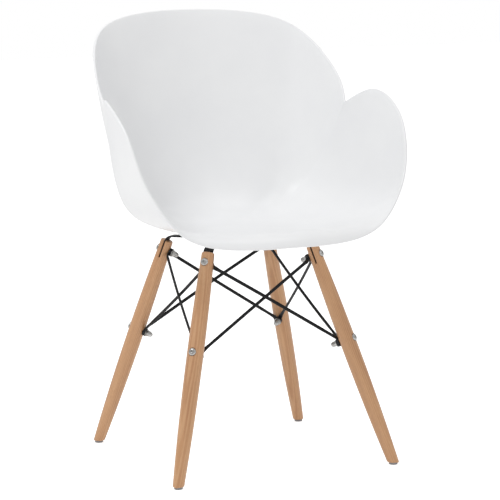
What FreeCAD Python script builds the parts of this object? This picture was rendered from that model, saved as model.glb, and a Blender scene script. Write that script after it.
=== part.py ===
import FreeCAD, Part
import Sketcher
import math
import os

from FreeCAD import Placement, Rotation, Vector

# Dining armchair: a one-piece moulded tub shell on a welded flat-bar cross, carried by four
# splayed turned legs that are tied together by eight crossed steel rods.
# The chair faces -Y, the floor is z = 0 and the origin lies under the middle of the seat.

# ---------------------------------------------------------------------------------------------
# Driving dimensions, in millimetres and degrees
# ---------------------------------------------------------------------------------------------

SIZES = {
    # moulded shell, measured on the middle of its wall
    "shell_half_width": 275.0,
    "shell_half_depth": 250.0,
    "seat_level": 437.5,
    "back_rise": 396.0,
    "arm_rise": 245.0,
    "notch_rise": 218.0,
    "shell_wall": 5.0,
    "hub_radius": 70.0,
    # moulded bosses under the shell and the screws in them
    "boss_reach": 52.0,
    "boss_top_diameter": 30.0,
    "boss_end_diameter": 24.0,
    "insert_diameter": 9.0,
    "insert_length": 12.0,
    "seat_screw_diameter": 6.0,
    "seat_screw_length": 20.0,
    "seat_screw_head_diameter": 12.0,
    "seat_screw_head_height": 3.6,
    "seat_screw_head_slope": 1.0,
    "spring_washer_diameter": 11.0,
    "spring_washer_thickness": 1.6,
    "seat_washer_diameter": 18.0,
    "seat_washer_thickness": 1.6,
    "pad_diameter": 24.0,
    "pad_thickness": 3.0,
    # flat-bar cross
    "bar_width": 19.0,
    "bar_thickness": 3.0,
    "bar_level": 412.5,
    "bend_radius": 12.0,
    # turned legs
    "foot_radius": 304.0,
    "splay_angle": 21.2,
    "leg_top_height": 404.0,
    "leg_top_diameter": 23.2,
    "leg_belly_diameter": 30.5,
    "leg_belly_height": 225.0,
    "leg_foot_diameter": 20.4,
    "foot_rounding": 2.5,
    "top_rounding": 1.8,
    "slot_depth": 34.5,
    "slot_clearance": 0.15,
    "tab_end_gap": 1.0,
    "spot_face_depth": 1.5,
    "spot_face_margin": 0.8,
    # glides under the legs
    "glide_diameter": 16.0,
    "glide_height": 4.0,
    "glide_bevel": 1.0,
    "glide_pin_diameter": 4.0,
    "glide_pin_length": 12.0,
    "glide_pin_end_gap": 1.0,
    # bolts through the legs
    "upper_bolt_height": 386.0,
    "lower_bolt_height": 230.0,
    "bolt_diameter": 6.0,
    "bolt_head_diameter": 14.0,
    "bolt_head_height": 4.0,
    "bolt_socket_width": 4.0,
    "bolt_socket_depth": 2.4,
    "washer_diameter": 14.0,
    "washer_thickness": 1.2,
    "nut_width": 10.0,
    "nut_hex_height": 6.0,
    "nut_length": 12.0,
    "nut_bore_depth": 9.0,
    "bolt_end_gap": 1.0,
    # crossed rods
    "rod_diameter": 6.3,
    "eye_diameter": 15.0,
    "eye_thickness": 3.0,
    "neck_width": 8.0,
    "neck_length": 12.0,
    "swage_length": 10.0,
    # fits
    "hole_clearance": 0.2,
    "thread_clearance": 0.05,
    "seat_gap": 0.05,
    "weld_gap": 0.3,
}

# Ribs of the shell. Each rib is a cubic curve from the flat hub under the seat, along the
# floor, up the wall and out to the rim. Plan positions are shares of the half width and half
# depth, heights are shares of the named rise above the seat.
#        rise          floor x, y       wall x, y, z            rim x, y, z
RIBS = {
    "crown": ("back_rise", (0.000, 0.680), (0.000, 0.800, 0.383), (0.000, 1.000, 1.000)),
    "shoulder": ("back_rise", (0.275, 0.676), (0.625, 0.622, 0.370), (0.705, 0.764, 0.925)),
    "side": ("back_rise", (0.485, 0.680), (0.775, 0.465, 0.297), (0.895, 0.288, 0.666)),
    "notch": ("notch_rise", (0.600, 0.595), (0.810, 0.380, 0.447), (0.876, 0.144, 1.000)),
    "crest": ("arm_rise", (0.880, 0.204), (0.872, -0.012, 0.322), (0.980, -0.120, 1.000)),
    "nose": ("arm_rise", (0.905, -0.215), (0.975, -0.350, 0.260), (0.992, -0.560, 0.808)),
    "knee": ("arm_rise", (0.700, -0.440), (0.890, -0.665, 0.135), (0.902, -0.780, 0.365)),
    "corner": ("arm_rise", (0.475, -0.670), (0.655, -0.795, 0.100), (0.685, -0.866, 0.045)),
    "lip": ("arm_rise", (0.000, -0.740), (0.000, -0.952, 0.096), (0.000, -1.000, -0.050)),
}
BACK_PETAL = ("notch", "side", "shoulder", "crown")
FRONT_PETAL = ("notch", "crest", "nose", "knee", "corner", "lip")
# Points interpolated between neighbouring ribs, from hub to rim and round the rim
COLUMNS_PER_SPAN = 4
ROWS = 11
RIM_ROWS = 7
# Ribs are spaced by this power of the distance between their rim ends, below 1 so that long
# spans do not swell between short ones
KNOT_POWER = 0.75

# Size of the flat end of a rod's swage, as a share of the strap that it runs into
SWAGE_SHARE = 0.9
# A rod whose bow is under this many millimetres is made straight
STRAIGHT_LIMIT = 0.01
# Cutters run this far past the faces that they cut through
OVERRUN = 1.0

# Bearing of each leg, from +X towards +Y
LEGS = {
    "front_right": -45.0,
    "back_right": 45.0,
    "back_left": 135.0,
    "front_left": 225.0,
}
# Each side of the base, with the leg it starts from and the next leg round
SIDES = {
    "right": ("front_right", "back_right"),
    "back": ("back_right", "back_left"),
    "left": ("back_left", "front_left"),
    "front": ("front_left", "front_right"),
}

UP = Vector(0, 0, 1)
ACROSS = Vector(0, 1, 0)

# Expressions used by more than one sub-part
LEG_TOP = "sizes.leg_top_height / cos(sizes.splay_angle)"
LEG_BELLY = "sizes.leg_belly_height / cos(sizes.splay_angle)"
SCREW_HOLE = "sizes.seat_screw_diameter / 2 + sizes.thread_clearance"
SCREW_PASSAGE = "sizes.seat_screw_diameter / 2 + sizes.hole_clearance"
BOLT_PASSAGE = "sizes.bolt_diameter / 2 + sizes.hole_clearance"


# ---------------------------------------------------------------------------------------------
# Document helpers
# ---------------------------------------------------------------------------------------------

def make_sheet(doc):
    """Put every driving dimension into the spreadsheet under its own alias."""
    sheet = doc.addObject("Spreadsheet::Sheet", "sizes")
    for row, (alias, value) in enumerate(SIZES.items(), start=1):
        sheet.set("A%d" % row, alias)
        sheet.set("B%d" % row, str(value))
        sheet.setAlias("B%d" % row, alias)
    doc.recompute()
    return sheet


def bind(thing, **expressions):
    """Bind properties of an object to cells of the spreadsheet."""
    for name, expression in expressions.items():
        thing.setExpression(name, expression)


def cylinder(doc, name, radius, height, placement):
    """A cylinder along its own +Z whose two sizes are expressions."""
    shape = doc.addObject("Part::Cylinder", name)
    bind(shape, Radius=radius, Height=height)
    shape.Placement = placement
    return shape


def cone(doc, name, low_radius, high_radius, height, placement):
    """A cone along its own +Z whose three sizes are expressions."""
    shape = doc.addObject("Part::Cone", name)
    bind(shape, Radius1=low_radius, Radius2=high_radius, Height=height)
    shape.Placement = placement
    return shape


def hexagon(doc, name, across_flats, height, placement):
    """A hexagonal prism along its own +Z, sized across its flats."""
    shape = doc.addObject("Part::Prism", name)
    shape.Polygon = 6
    bind(shape, Circumradius="(%s) / 2 / cos(30)" % across_flats, Height=height)
    shape.Placement = placement
    return shape


def join(doc, name, pieces):
    """Fuse overlapping pieces into one solid."""
    fused = doc.addObject("Part::MultiFuse", name)
    fused.Shapes = pieces
    return fused


def subtract(doc, name, base, tools):
    """Cut one or more tools out of a base."""
    cut = doc.addObject("Part::Cut", name)
    cut.Base = base
    cut.Tool = tools[0] if len(tools) == 1 else join(doc, name + "_tools", tools)
    return cut


def group(doc, name, pieces):
    """Keep identical pieces together as separate solids of one sub-part."""
    bundle = doc.addObject("Part::Compound", name)
    bundle.Links = pieces
    return bundle


def origin_plane(body, role):
    """One of a body's own origin planes, found by its role."""
    for feature in body.Origin.OriginFeatures:
        if feature.Role == role:
            return feature
    raise ValueError(role)


def plane_sketch(body, name, role):
    """A sketch lying flat on one of the body's origin planes."""
    sketch = body.newObject("Sketcher::SketchObject", name)
    sketch.AttachmentSupport = (origin_plane(body, role), [""])
    sketch.MapMode = "FlatFace"
    return sketch


def pin_point(sketch, geometry, end, across, along):
    """Fix one end of a sketch line or arc by two expressions measured from the origin."""
    drawn = sketch.getPoint(geometry, end)
    for kind, start, expression in (("DistanceX", drawn.x, across), ("DistanceY", drawn.y, along)):
        index = sketch.addConstraint(Sketcher.Constraint(kind, -1, 1, geometry, end, start))
        sketch.setExpression("Constraints[%d]" % index, expression)


def closed_outline(sketch, corners):
    """Draw a closed polygon whose corners are pairs of expressions."""
    count = len(corners)
    for index in range(count):
        turn = 2 * math.pi * index / count
        ahead = 2 * math.pi * (index + 1) / count
        start = Vector(10 * math.cos(turn), 10 * math.sin(turn), 0)
        end = Vector(10 * math.cos(ahead), 10 * math.sin(ahead), 0)
        sketch.addGeometry(Part.LineSegment(start, end))
    for index in range(count):
        sketch.addConstraint(Sketcher.Constraint("Coincident", index, 2, (index + 1) % count, 1))
    for index, (across, along) in enumerate(corners):
        pin_point(sketch, index, 1, across, along)


def expect_less(doc, body, before, what):
    """Stop when a cut has taken nothing away."""
    doc.recompute()
    if body.Shape.Volume >= before - 1e-6:
        raise RuntimeError(what + " cut nothing")
    return body.Shape.Volume


# ---------------------------------------------------------------------------------------------
# Levels and frames shared by the sub-parts
# ---------------------------------------------------------------------------------------------

class Layout:
    """Numbers worked out once from the spreadsheet and used to place the sub-parts."""

    def __init__(self, sheet):
        self.sheet = sheet
        self.splay = math.radians(self.size("splay_angle"))
        self.bar_bottom = self.size("bar_level") - self.size("bar_thickness") / 2
        self.bar_top = self.size("bar_level") + self.size("bar_thickness") / 2
        self.boss_end = self.bar_top + self.size("pad_thickness")

    def size(self, alias):
        """A driving dimension as a plain number."""
        return float(self.sheet.get(alias))

    def along_leg(self, height):
        """Distance up the leg axis at which the axis reaches a height."""
        return height / math.cos(self.splay)

    def leg_frame(self, bearing):
        """Frame of a leg: origin where its axis meets the floor, Z up the axis, X outward."""
        turn = Rotation(UP, bearing)
        foot = turn.multVec(Vector(self.size("foot_radius"), 0, 0))
        lean = Rotation(ACROSS, -self.size("splay_angle"))
        return Placement(foot, turn * lean)

    def bolt_frame(self, bearing, height):
        """Frame of a bolt through a leg: origin on the leg axis, Z outward along the bolt."""
        turn = Placement(Vector(0, 0, self.along_leg(height)), Rotation(ACROSS, 90))
        return self.leg_frame(bearing) * turn

    def leg_arc(self):
        """Centre distance and radius of the arc that the side of every leg follows."""
        low = (self.size("leg_foot_diameter") / 2, 0.0)
        belly = (self.size("leg_belly_diameter") / 2, self.along_leg(self.size("leg_belly_height")))
        top = (self.size("leg_top_diameter") / 2, self.along_leg(self.size("leg_top_height")))
        through = [Vector(x, y, 0) for x, y in (low, belly, top)]
        circle = Part.Arc(*through).toShape().Curve
        return circle.Center, circle.Radius

    def leg_radius(self, height, shift=0.0):
        """Radius of the wood where its axis reaches a height, or a little further up it."""
        centre, radius = self.leg_arc()
        rise = self.along_leg(height) + shift - centre.y
        return centre.x + math.sqrt(radius * radius - rise * rise)

    def inner_stack(self, height):
        """Start of what is stacked on a bolt inside the leg, measured in the bolt frame."""
        reach = self.size("eye_diameter") / 2
        thickest = max(self.leg_radius(height, shift) for shift in (-reach, 0.0, reach))
        return -thickest - self.size("seat_gap")


# ---------------------------------------------------------------------------------------------
# Moulded shell
# ---------------------------------------------------------------------------------------------

def rib_points(layout, name, side):
    """The four control points of a rib: hub, floor, wall and rim."""
    rise_name, floor, wall, rim = RIBS[name]
    width = layout.size("shell_half_width") * side
    depth = layout.size("shell_half_depth")
    level = layout.size("seat_level")
    rise = layout.size(rise_name)
    floor_point = Vector(floor[0] * width, floor[1] * depth, level)
    outward = Vector(floor_point.x, floor_point.y, 0).normalize()
    hub_point = outward * layout.size("hub_radius") + Vector(0, 0, level)
    wall_point = Vector(wall[0] * width, wall[1] * depth, level + wall[2] * rise)
    rim_point = Vector(rim[0] * width, rim[1] * depth, level + rim[2] * rise)
    return [hub_point, floor_point, wall_point, rim_point]


def full_petal(layout, names, beyond, near):
    """The ribs of a petal from notch to notch, with the other petal's next rib at both ends.

    near is the side that it starts on, 1 for the right and -1 for the left.
    """
    half = (beyond,) + names
    ribs = [rib_points(layout, name, near) for name in half]
    ribs += [rib_points(layout, name, -near) for name in reversed(half[:-1])]
    return ribs


def rib_knots(ribs):
    """Parameter of each rib, spaced by the distance between neighbouring rim points."""
    knots = [0.0]
    for rib, following in zip(ribs, ribs[1:]):
        knots.append(knots[-1] + (following[3] - rib[3]).Length ** KNOT_POWER)
    return knots


def rib_slopes(chain, knots):
    """How fast each control point moves from rib to rib.

    The chain holds one more rib past each notch. Hub and floor run smoothly across the notch
    into the other petal, while wall and rim end there free of bend, which leaves the crease.
    """
    slopes = []
    for index in range(1, len(chain) - 1):
        before = knots[index] - knots[index - 1]
        after = knots[index + 1] - knots[index]
        slopes.append([
            ((chain[index][k] - chain[index - 1][k]) * (after / before)
             + (chain[index + 1][k] - chain[index][k]) * (before / after)) * (1 / (before + after))
            for k in range(4)
        ])
    for end, inner, step in ((0, 1, 1), (-1, -2, -1)):
        notch = 1 if step > 0 else len(chain) - 2
        span = knots[notch + step] - knots[notch]
        for k in (2, 3):
            free = (chain[notch + step][k] - chain[notch][k]) * (1.5 / span)
            slopes[end][k] = free - slopes[inner][k] * 0.5
    return slopes


def blended_rib(ribs, knots, slopes, span, share):
    """Control points between two ribs, and how fast they move, by a cubic blend."""
    length = knots[span + 1] - knots[span]
    s = share
    weights = (2 * s**3 - 3 * s**2 + 1, (s**3 - 2 * s**2 + s) * length,
               -2 * s**3 + 3 * s**2, (s**3 - s**2) * length)
    rates = ((6 * s**2 - 6 * s) / length, 3 * s**2 - 4 * s + 1,
             (-6 * s**2 + 6 * s) / length, 3 * s**2 - 2 * s)
    points = []
    moves = []
    for k in range(4):
        terms = (ribs[span][k], slopes[span][k], ribs[span + 1][k], slopes[span + 1][k])
        points.append(weighted(terms, weights))
        moves.append(weighted(terms, rates))
    return points, moves


def weighted(vectors, weights):
    """Sum of vectors times weights."""
    total = Vector(0, 0, 0)
    for vector, weight in zip(vectors, weights):
        total = total + vector * weight
    return total


def bezier(points, t):
    """Point on a cubic curve given by four control points."""
    weights = ((1 - t)**3, 3 * (1 - t)**2 * t, 3 * (1 - t) * t**2, t**3)
    return weighted(points, weights)


def bezier_slope(points, t):
    """Direction of travel along the same curve."""
    legs = [points[k + 1] - points[k] for k in range(3)]
    return weighted(legs, (3 * (1 - t)**2, 6 * (1 - t) * t, 3 * t**2))


def petal_grid(chain):
    """Points, upward normals and rim directions of a petal's middle surface, by column."""
    knots = rib_knots(chain)
    slopes = rib_slopes(chain, knots)
    ribs, knots = chain[1:-1], knots[1:-1]
    columns = []
    for span in range(len(ribs) - 1):
        last = span == len(ribs) - 2
        for step in range(COLUMNS_PER_SPAN + (1 if last else 0)):
            share = step / COLUMNS_PER_SPAN
            points, moves = blended_rib(ribs, knots, slopes, span, share)
            column = {"knot": knots[span] + share * (knots[span + 1] - knots[span]), "at": [], "up": []}
            for row in range(ROWS):
                t = row / (ROWS - 1)
                along = bezier_slope(points, t)
                column["at"].append(bezier(points, t))
                column["up"].append(bezier(moves, t).cross(along).normalize())
            column["out"] = bezier_slope(points, 1.0).normalize()
            columns.append(column)
    return columns


def share_notch_normals(back, front):
    """Give both petals the same normals along the two ribs that they share."""
    for here, there in ((back[0], front[-1]), (back[-1], front[0])):
        for row in range(ROWS):
            common = (here["up"][row] + there["up"][row]).normalize()
            here["up"][row] = common
            there["up"][row] = common


def surface_through(rows, knots, levels):
    """B-spline surface through a net of points, rows[level][column], with given parameters."""
    first_pass = []
    for row in rows:
        curve = Part.BSplineCurve()
        curve.interpolate(Points=row, Parameters=knots)
        first_pass.append(curve)
    poles = []
    for index in range(first_pass[0].NbPoles):
        across = Part.BSplineCurve()
        across.interpolate(Points=[curve.getPole(index + 1) for curve in first_pass], Parameters=levels)
        poles.append(across.getPoles())
    surface = Part.BSplineSurface()
    surface.buildFromPolesMultsKnots(
        poles, first_pass[0].getMultiplicities(), across.getMultiplicities(),
        first_pass[0].getKnots(), across.getKnots(), False, False, 3, 3)
    return surface


def petal_faces(columns, wall):
    """Upper face, rounded rim and lower face of one petal."""
    knots = [column["knot"] for column in columns]
    levels = [row / (ROWS - 1) for row in range(ROWS)]
    half = wall / 2
    upper = [[c["at"][row] + c["up"][row] * half for c in columns] for row in range(ROWS)]
    lower = [[c["at"][row] - c["up"][row] * half for c in columns] for row in range(ROWS)]
    rim_levels = [row / (RIM_ROWS - 1) for row in range(RIM_ROWS)]
    rim = []
    for level in rim_levels:
        up_share = half * math.cos(math.pi * level)
        out_share = half * math.sin(math.pi * level)
        rim.append([c["at"][-1] + c["up"][-1] * up_share + c["out"] * out_share for c in columns])
    nets = ((upper, levels), (rim, rim_levels), (lower, levels))
    return [surface_through(net, knots, at).toShape() for net, at in nets]


def hub_face(faces, level):
    """Flat disc that closes the petals round the hub at one level."""
    edges = []
    for face in faces:
        for edge in face.Edges:
            box = edge.BoundBox
            if abs(box.ZMin - level) < 1e-6 and abs(box.ZMax - level) < 1e-6:
                edges.append(edge)
    return Part.Face(Part.Wire(Part.__sortEdges__(edges)))


def shell_solid(layout):
    """The tub: two petals that meet at the notches, one wall thick, with a rounded rim."""
    wall = layout.size("shell_wall")
    back = petal_grid(full_petal(layout, BACK_PETAL, "crest", -1))
    front = petal_grid(full_petal(layout, FRONT_PETAL, "side", 1))
    share_notch_normals(back, front)
    faces = petal_faces(back, wall) + petal_faces(front, wall)
    level = layout.size("seat_level")
    upper_disc = hub_face((faces[0], faces[3]), level + wall / 2)
    lower_disc = hub_face((faces[2], faces[5]), level - wall / 2)
    skin = Part.Compound(faces + [upper_disc, lower_disc])
    skin.sewShape(1e-3)
    solid = Part.Solid(skin.Shells[0] if skin.Shells else Part.Shell(skin.Faces))
    if solid.Volume < 0:
        solid.reverse()
    return solid


def boss_places(layout):
    """The four screw places under the seat, one on each arm of the cross."""
    reach = layout.size("boss_reach")
    return [Rotation(UP, bearing).multVec(Vector(reach, 0, 0)) for bearing in LEGS.values()]


def make_shell(doc, layout):
    """Tub shell with four drafted bosses, each bored for its threaded insert."""
    solid = shell_solid(layout)
    boss_height = layout.size("seat_level") - layout.boss_end
    bore = layout.size("insert_diameter") / 2 + layout.size("thread_clearance")
    for place in boss_places(layout):
        base = place + Vector(0, 0, layout.boss_end)
        boss = Part.makeCone(layout.size("boss_end_diameter") / 2, layout.size("boss_top_diameter") / 2,
                             boss_height, base, UP)
        solid = solid.fuse(boss)
    for place in boss_places(layout):
        base = place + Vector(0, 0, layout.boss_end)
        solid = solid.cut(Part.makeCylinder(bore, layout.size("insert_length"), base, UP))
    shell = doc.addObject("Part::Feature", "seat_shell")
    shell.Shape = solid.Solids[0] if len(solid.Solids) == 1 else solid
    return [shell]


def make_seat_fixings(doc, layout):
    """Inserts, rubber pads, washers and screws that hold the shell on the cross."""
    inserts, pads, washers, springs, screws = [], [], [], [], []
    washer_face = layout.bar_bottom - layout.size("seat_washer_thickness")
    spring_face = washer_face - layout.size("spring_washer_thickness")
    for index, place in enumerate(boss_places(layout)):
        at_end = Placement(place + Vector(0, 0, layout.boss_end), Rotation())
        tube = cylinder(doc, "insert_tube_%d" % index, "sizes.insert_diameter / 2",
                        "sizes.insert_length", at_end)
        inserts.append(ring(doc, "insert_%d" % index, tube, SCREW_HOLE, "sizes.insert_length"))
        at_bar = Placement(place + Vector(0, 0, layout.bar_top), Rotation())
        disc = cylinder(doc, "pad_disc_%d" % index, "sizes.pad_diameter / 2", "sizes.pad_thickness", at_bar)
        pads.append(ring(doc, "pad_%d" % index, disc, SCREW_PASSAGE, "sizes.pad_thickness"))
        at_washer = Placement(place + Vector(0, 0, washer_face), Rotation())
        flat = cylinder(doc, "seat_washer_disc_%d" % index, "sizes.seat_washer_diameter / 2",
                        "sizes.seat_washer_thickness", at_washer)
        washers.append(ring(doc, "seat_washer_%d" % index, flat, SCREW_PASSAGE,
                            "sizes.seat_washer_thickness"))
        at_spring = Placement(place + Vector(0, 0, spring_face), Rotation())
        coil = cylinder(doc, "spring_disc_%d" % index, "sizes.spring_washer_diameter / 2",
                        "sizes.spring_washer_thickness", at_spring)
        springs.append(ring(doc, "spring_washer_%d" % index, coil, SCREW_PASSAGE,
                            "sizes.spring_washer_thickness"))
        screws.append(seat_screw(doc, layout, index, place + Vector(0, 0, spring_face)))
    return [
        group(doc, "seat_inserts", inserts),
        group(doc, "rubber_pads", pads),
        group(doc, "seat_washers", washers),
        group(doc, "seat_spring_washers", springs),
        group(doc, "seat_screws", screws),
    ]


def ring(doc, name, disc, radius, height):
    """A disc with a concentric hole through it."""
    bore = cylinder(doc, name + "_bore", radius, height, disc.Placement)
    return subtract(doc, name, disc, [bore])


def seat_screw(doc, layout, index, head_face):
    """Pan-head screw pointing up, with a hexagon socket in its head."""
    shank = cylinder(doc, "seat_screw_shank_%d" % index, "sizes.seat_screw_diameter / 2",
                     "sizes.seat_screw_length", Placement(head_face, Rotation()))
    head = cone(doc, "seat_screw_head_%d" % index, "sizes.seat_screw_head_diameter / 2",
                "sizes.seat_screw_head_diameter / 2 - sizes.seat_screw_head_slope",
                "sizes.seat_screw_head_height", Placement(head_face, Rotation(ACROSS, 180)))
    crown = head_face - Vector(0, 0, layout.size("seat_screw_head_height"))
    socket = hexagon(doc, "seat_screw_socket_%d" % index, "sizes.bolt_socket_width",
                     "sizes.bolt_socket_depth", Placement(crown, Rotation()))
    body = join(doc, "seat_screw_body_%d" % index, [shank, head])
    return subtract(doc, "seat_screw_%d" % index, body, [socket])


# ---------------------------------------------------------------------------------------------
# Flat-bar cross
# ---------------------------------------------------------------------------------------------

BAR_LOW = "(sizes.bar_level - sizes.bar_thickness / 2)"
BAR_HIGH = "(sizes.bar_level + sizes.bar_thickness / 2)"
FACE_SHIFT = "sizes.bar_thickness / 2 / cos(sizes.splay_angle)"
OUTER_CORNER = "sizes.foot_radius - %s * tan(sizes.splay_angle) + %s" % (BAR_HIGH, FACE_SHIFT)
INNER_CORNER = "sizes.foot_radius - %s * tan(sizes.splay_angle) - %s" % (BAR_LOW, FACE_SHIFT)
TAB_END = "(%s - sizes.slot_depth + sizes.tab_end_gap)" % LEG_TOP
TAB_MIDDLE_X = "sizes.foot_radius - %s * sin(sizes.splay_angle)" % TAB_END
TAB_MIDDLE_Z = "%s * cos(sizes.splay_angle)" % TAB_END
TAB_HALF_X = "sizes.bar_thickness / 2 * cos(sizes.splay_angle)"
TAB_HALF_Z = "sizes.bar_thickness / 2 * sin(sizes.splay_angle)"


def tab_corners(side):
    """Corners of one bent-down tab, from its outer bend round to its inner bend."""
    sign = "" if side > 0 else "-"
    return [
        ("%s(%s)" % (sign, OUTER_CORNER), BAR_HIGH),
        ("%s(%s + %s)" % (sign, TAB_MIDDLE_X, TAB_HALF_X), "%s + %s" % (TAB_MIDDLE_Z, TAB_HALF_Z)),
        ("%s(%s - %s)" % (sign, TAB_MIDDLE_X, TAB_HALF_X), "%s - %s" % (TAB_MIDDLE_Z, TAB_HALF_Z)),
        ("%s(%s)" % (sign, INNER_CORNER), BAR_LOW),
    ]


def bent_strip(doc, layout, name, corners, bearing):
    """Flat bar of constant section whose side view is the given outline, bends rounded."""
    body = doc.addObject("PartDesign::Body", name)
    sketch = plane_sketch(body, name + "_outline", "XZ_Plane")
    closed_outline(sketch, corners)
    doc.recompute()
    pad = body.newObject("PartDesign::Pad", name + "_pad")
    pad.Profile = sketch
    pad.Midplane = True
    bind(pad, Length="sizes.bar_width")
    doc.recompute()
    for level, radius in (("high", "sizes.bend_radius + sizes.bar_thickness"), ("low", "sizes.bend_radius")):
        before = body.Tip
        edges = bend_edges(layout, before.Shape, level)
        bend = body.newObject("PartDesign::Fillet", "%s_%s_bend" % (name, level))
        bend.Base = (before, edges)
        bind(bend, Radius=radius)
        doc.recompute()
    body.Placement = Placement(Vector(), Rotation(UP, bearing))
    return body


def bend_edges(layout, shape, level):
    """Names of the straight edges across the bar at its bends, on its upper or lower face."""
    height = layout.bar_top if level == "high" else layout.bar_bottom
    width = layout.size("bar_width")
    names = []
    for index, edge in enumerate(shape.Edges, start=1):
        box = edge.BoundBox
        across = abs(box.YLength - width) < 1e-3 and box.XLength < 1e-3
        at_bend = abs(box.ZMin - height) < 1e-3 and abs(box.XMin) > width
        if across and at_bend:
            names.append("Edge%d" % index)
    return names


def drilled_bar(doc, layout, name, strip, bearings):
    """Drill a bar for its seat screws and for the bolts through its tabs."""
    drills = []
    for bearing in bearings:
        below = Vector(layout.size("boss_reach"), 0, layout.bar_bottom - OVERRUN)
        drills.append(cylinder(doc, "%s_screw_drill_%d" % (name, bearing), SCREW_PASSAGE,
                               "sizes.bar_thickness + %g" % (2 * OVERRUN),
                               Placement(Rotation(UP, bearing).multVec(below), Rotation())))
        frame = layout.bolt_frame(bearing, layout.size("upper_bolt_height"))
        start = frame * Placement(Vector(0, 0, -layout.size("bar_thickness")), Rotation())
        drills.append(cylinder(doc, "%s_bolt_drill_%d" % (name, bearing), BOLT_PASSAGE,
                               "sizes.bar_thickness * 2", start))
    return subtract(doc, name, strip, drills)


def make_cross(doc, layout):
    """One bar runs right across; two shorter ones butt against its edges and are welded."""
    outline = tab_corners(1) + list(reversed(tab_corners(-1)))
    through = bent_strip(doc, layout, "long_strip", outline, LEGS["front_right"])
    nodes = [drilled_bar(doc, layout, "cross_bar_long", through, (LEGS["front_right"], LEGS["back_left"]))]
    butt = "sizes.bar_width / 2"
    for leg in ("back_right", "front_left"):
        corners = [(butt, BAR_HIGH)] + tab_corners(1) + [(butt, BAR_LOW)]
        half = bent_strip(doc, layout, "half_strip_" + leg, corners, LEGS[leg])
        nodes.append(drilled_bar(doc, layout, "cross_arm_" + leg, half, (LEGS[leg],)))
    return nodes


# ---------------------------------------------------------------------------------------------
# Turned legs and their glides
# ---------------------------------------------------------------------------------------------

def leg_profile(doc, layout, body):
    """Half section of a leg: a straight axis and one long arc from foot to top."""
    sketch = plane_sketch(body, body.Name + "_profile", "XZ_Plane")
    centre, radius = layout.leg_arc()
    foot = layout.size("leg_foot_diameter") / 2
    top = layout.size("leg_top_diameter") / 2
    length = layout.along_leg(layout.size("leg_top_height"))
    tail = -layout.size("leg_foot_diameter")
    low_angle = math.asin((0 - centre.y) / radius)
    high_angle = math.asin((length - centre.y) / radius)
    circle = Part.Circle(Vector(centre.x, centre.y, 0), UP, radius)
    side = sketch.addGeometry(Part.ArcOfCircle(circle, low_angle, high_angle))
    lid = sketch.addGeometry(Part.LineSegment(Vector(top, length, 0), Vector(0, length, 0)))
    axis = sketch.addGeometry(Part.LineSegment(Vector(0, length, 0), Vector(0, tail, 0)))
    sole = sketch.addGeometry(Part.LineSegment(Vector(0, tail, 0), Vector(foot, tail, 0)))
    skirt = sketch.addGeometry(Part.LineSegment(Vector(foot, tail, 0), Vector(foot, 0, 0)))
    belly = sketch.addGeometry(Part.Point(Vector(*belly_point(layout), 0)), True)
    ends = (
        (side, 2, lid, 1), (lid, 2, axis, 1), (axis, 2, sole, 1),
        (sole, 2, skirt, 1), (skirt, 2, side, 1),
    )
    for first, first_end, second, second_end in ends:
        sketch.addConstraint(Sketcher.Constraint("Coincident", first, first_end, second, second_end))
    pin_point(sketch, lid, 1, "sizes.leg_top_diameter / 2", LEG_TOP)
    sketch.addConstraint(Sketcher.Constraint("PointOnObject", lid, 2, -2))
    sketch.addConstraint(Sketcher.Constraint("Horizontal", lid))
    sketch.addConstraint(Sketcher.Constraint("PointOnObject", sole, 1, -2))
    sketch.addConstraint(Sketcher.Constraint("Horizontal", sole))
    sketch.addConstraint(Sketcher.Constraint("Vertical", skirt))
    pin_point(sketch, sole, 2, "sizes.leg_foot_diameter / 2", "-sizes.leg_foot_diameter")
    sketch.addConstraint(Sketcher.Constraint("PointOnObject", skirt, 2, -1))
    pin_point(sketch, belly, 1, "sizes.leg_belly_diameter / 2", LEG_BELLY)
    sketch.addConstraint(Sketcher.Constraint("PointOnObject", belly, 1, side))
    return sketch


def belly_point(layout):
    """Widest measured point of the leg's side."""
    return layout.size("leg_belly_diameter") / 2, layout.along_leg(layout.size("leg_belly_height"))


def turned_blank(doc, layout, body):
    """Turn the profile round the leg axis."""
    sketch = leg_profile(doc, layout, body)
    doc.recompute()
    turned = body.newObject("PartDesign::Revolution", body.Name + "_turned")
    turned.Profile = sketch
    turned.ReferenceAxis = (sketch, ["V_Axis"])
    turned.Angle = 360
    doc.recompute()
    return body.Shape.Volume


def cut_pocket(doc, body, name, sketch, volume, **settings):
    """Cut a sketch out of the body and make sure that something was removed."""
    doc.recompute()
    pocket = body.newObject("PartDesign::Pocket", name)
    pocket.Profile = sketch
    pocket.Type = settings.get("kind", "ThroughAll")
    pocket.Midplane = settings.get("midplane", True)
    pocket.Reversed = settings.get("reversed", False)
    if "length" in settings:
        bind(pocket, Length=settings["length"])
    return expect_less(doc, body, volume, name)


def floor_line(across):
    """Height up the leg axis of the level sole, at an offset across the leg."""
    return "(sizes.glide_height - (%s) * sin(sizes.splay_angle)) / cos(sizes.splay_angle)" % across


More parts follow.
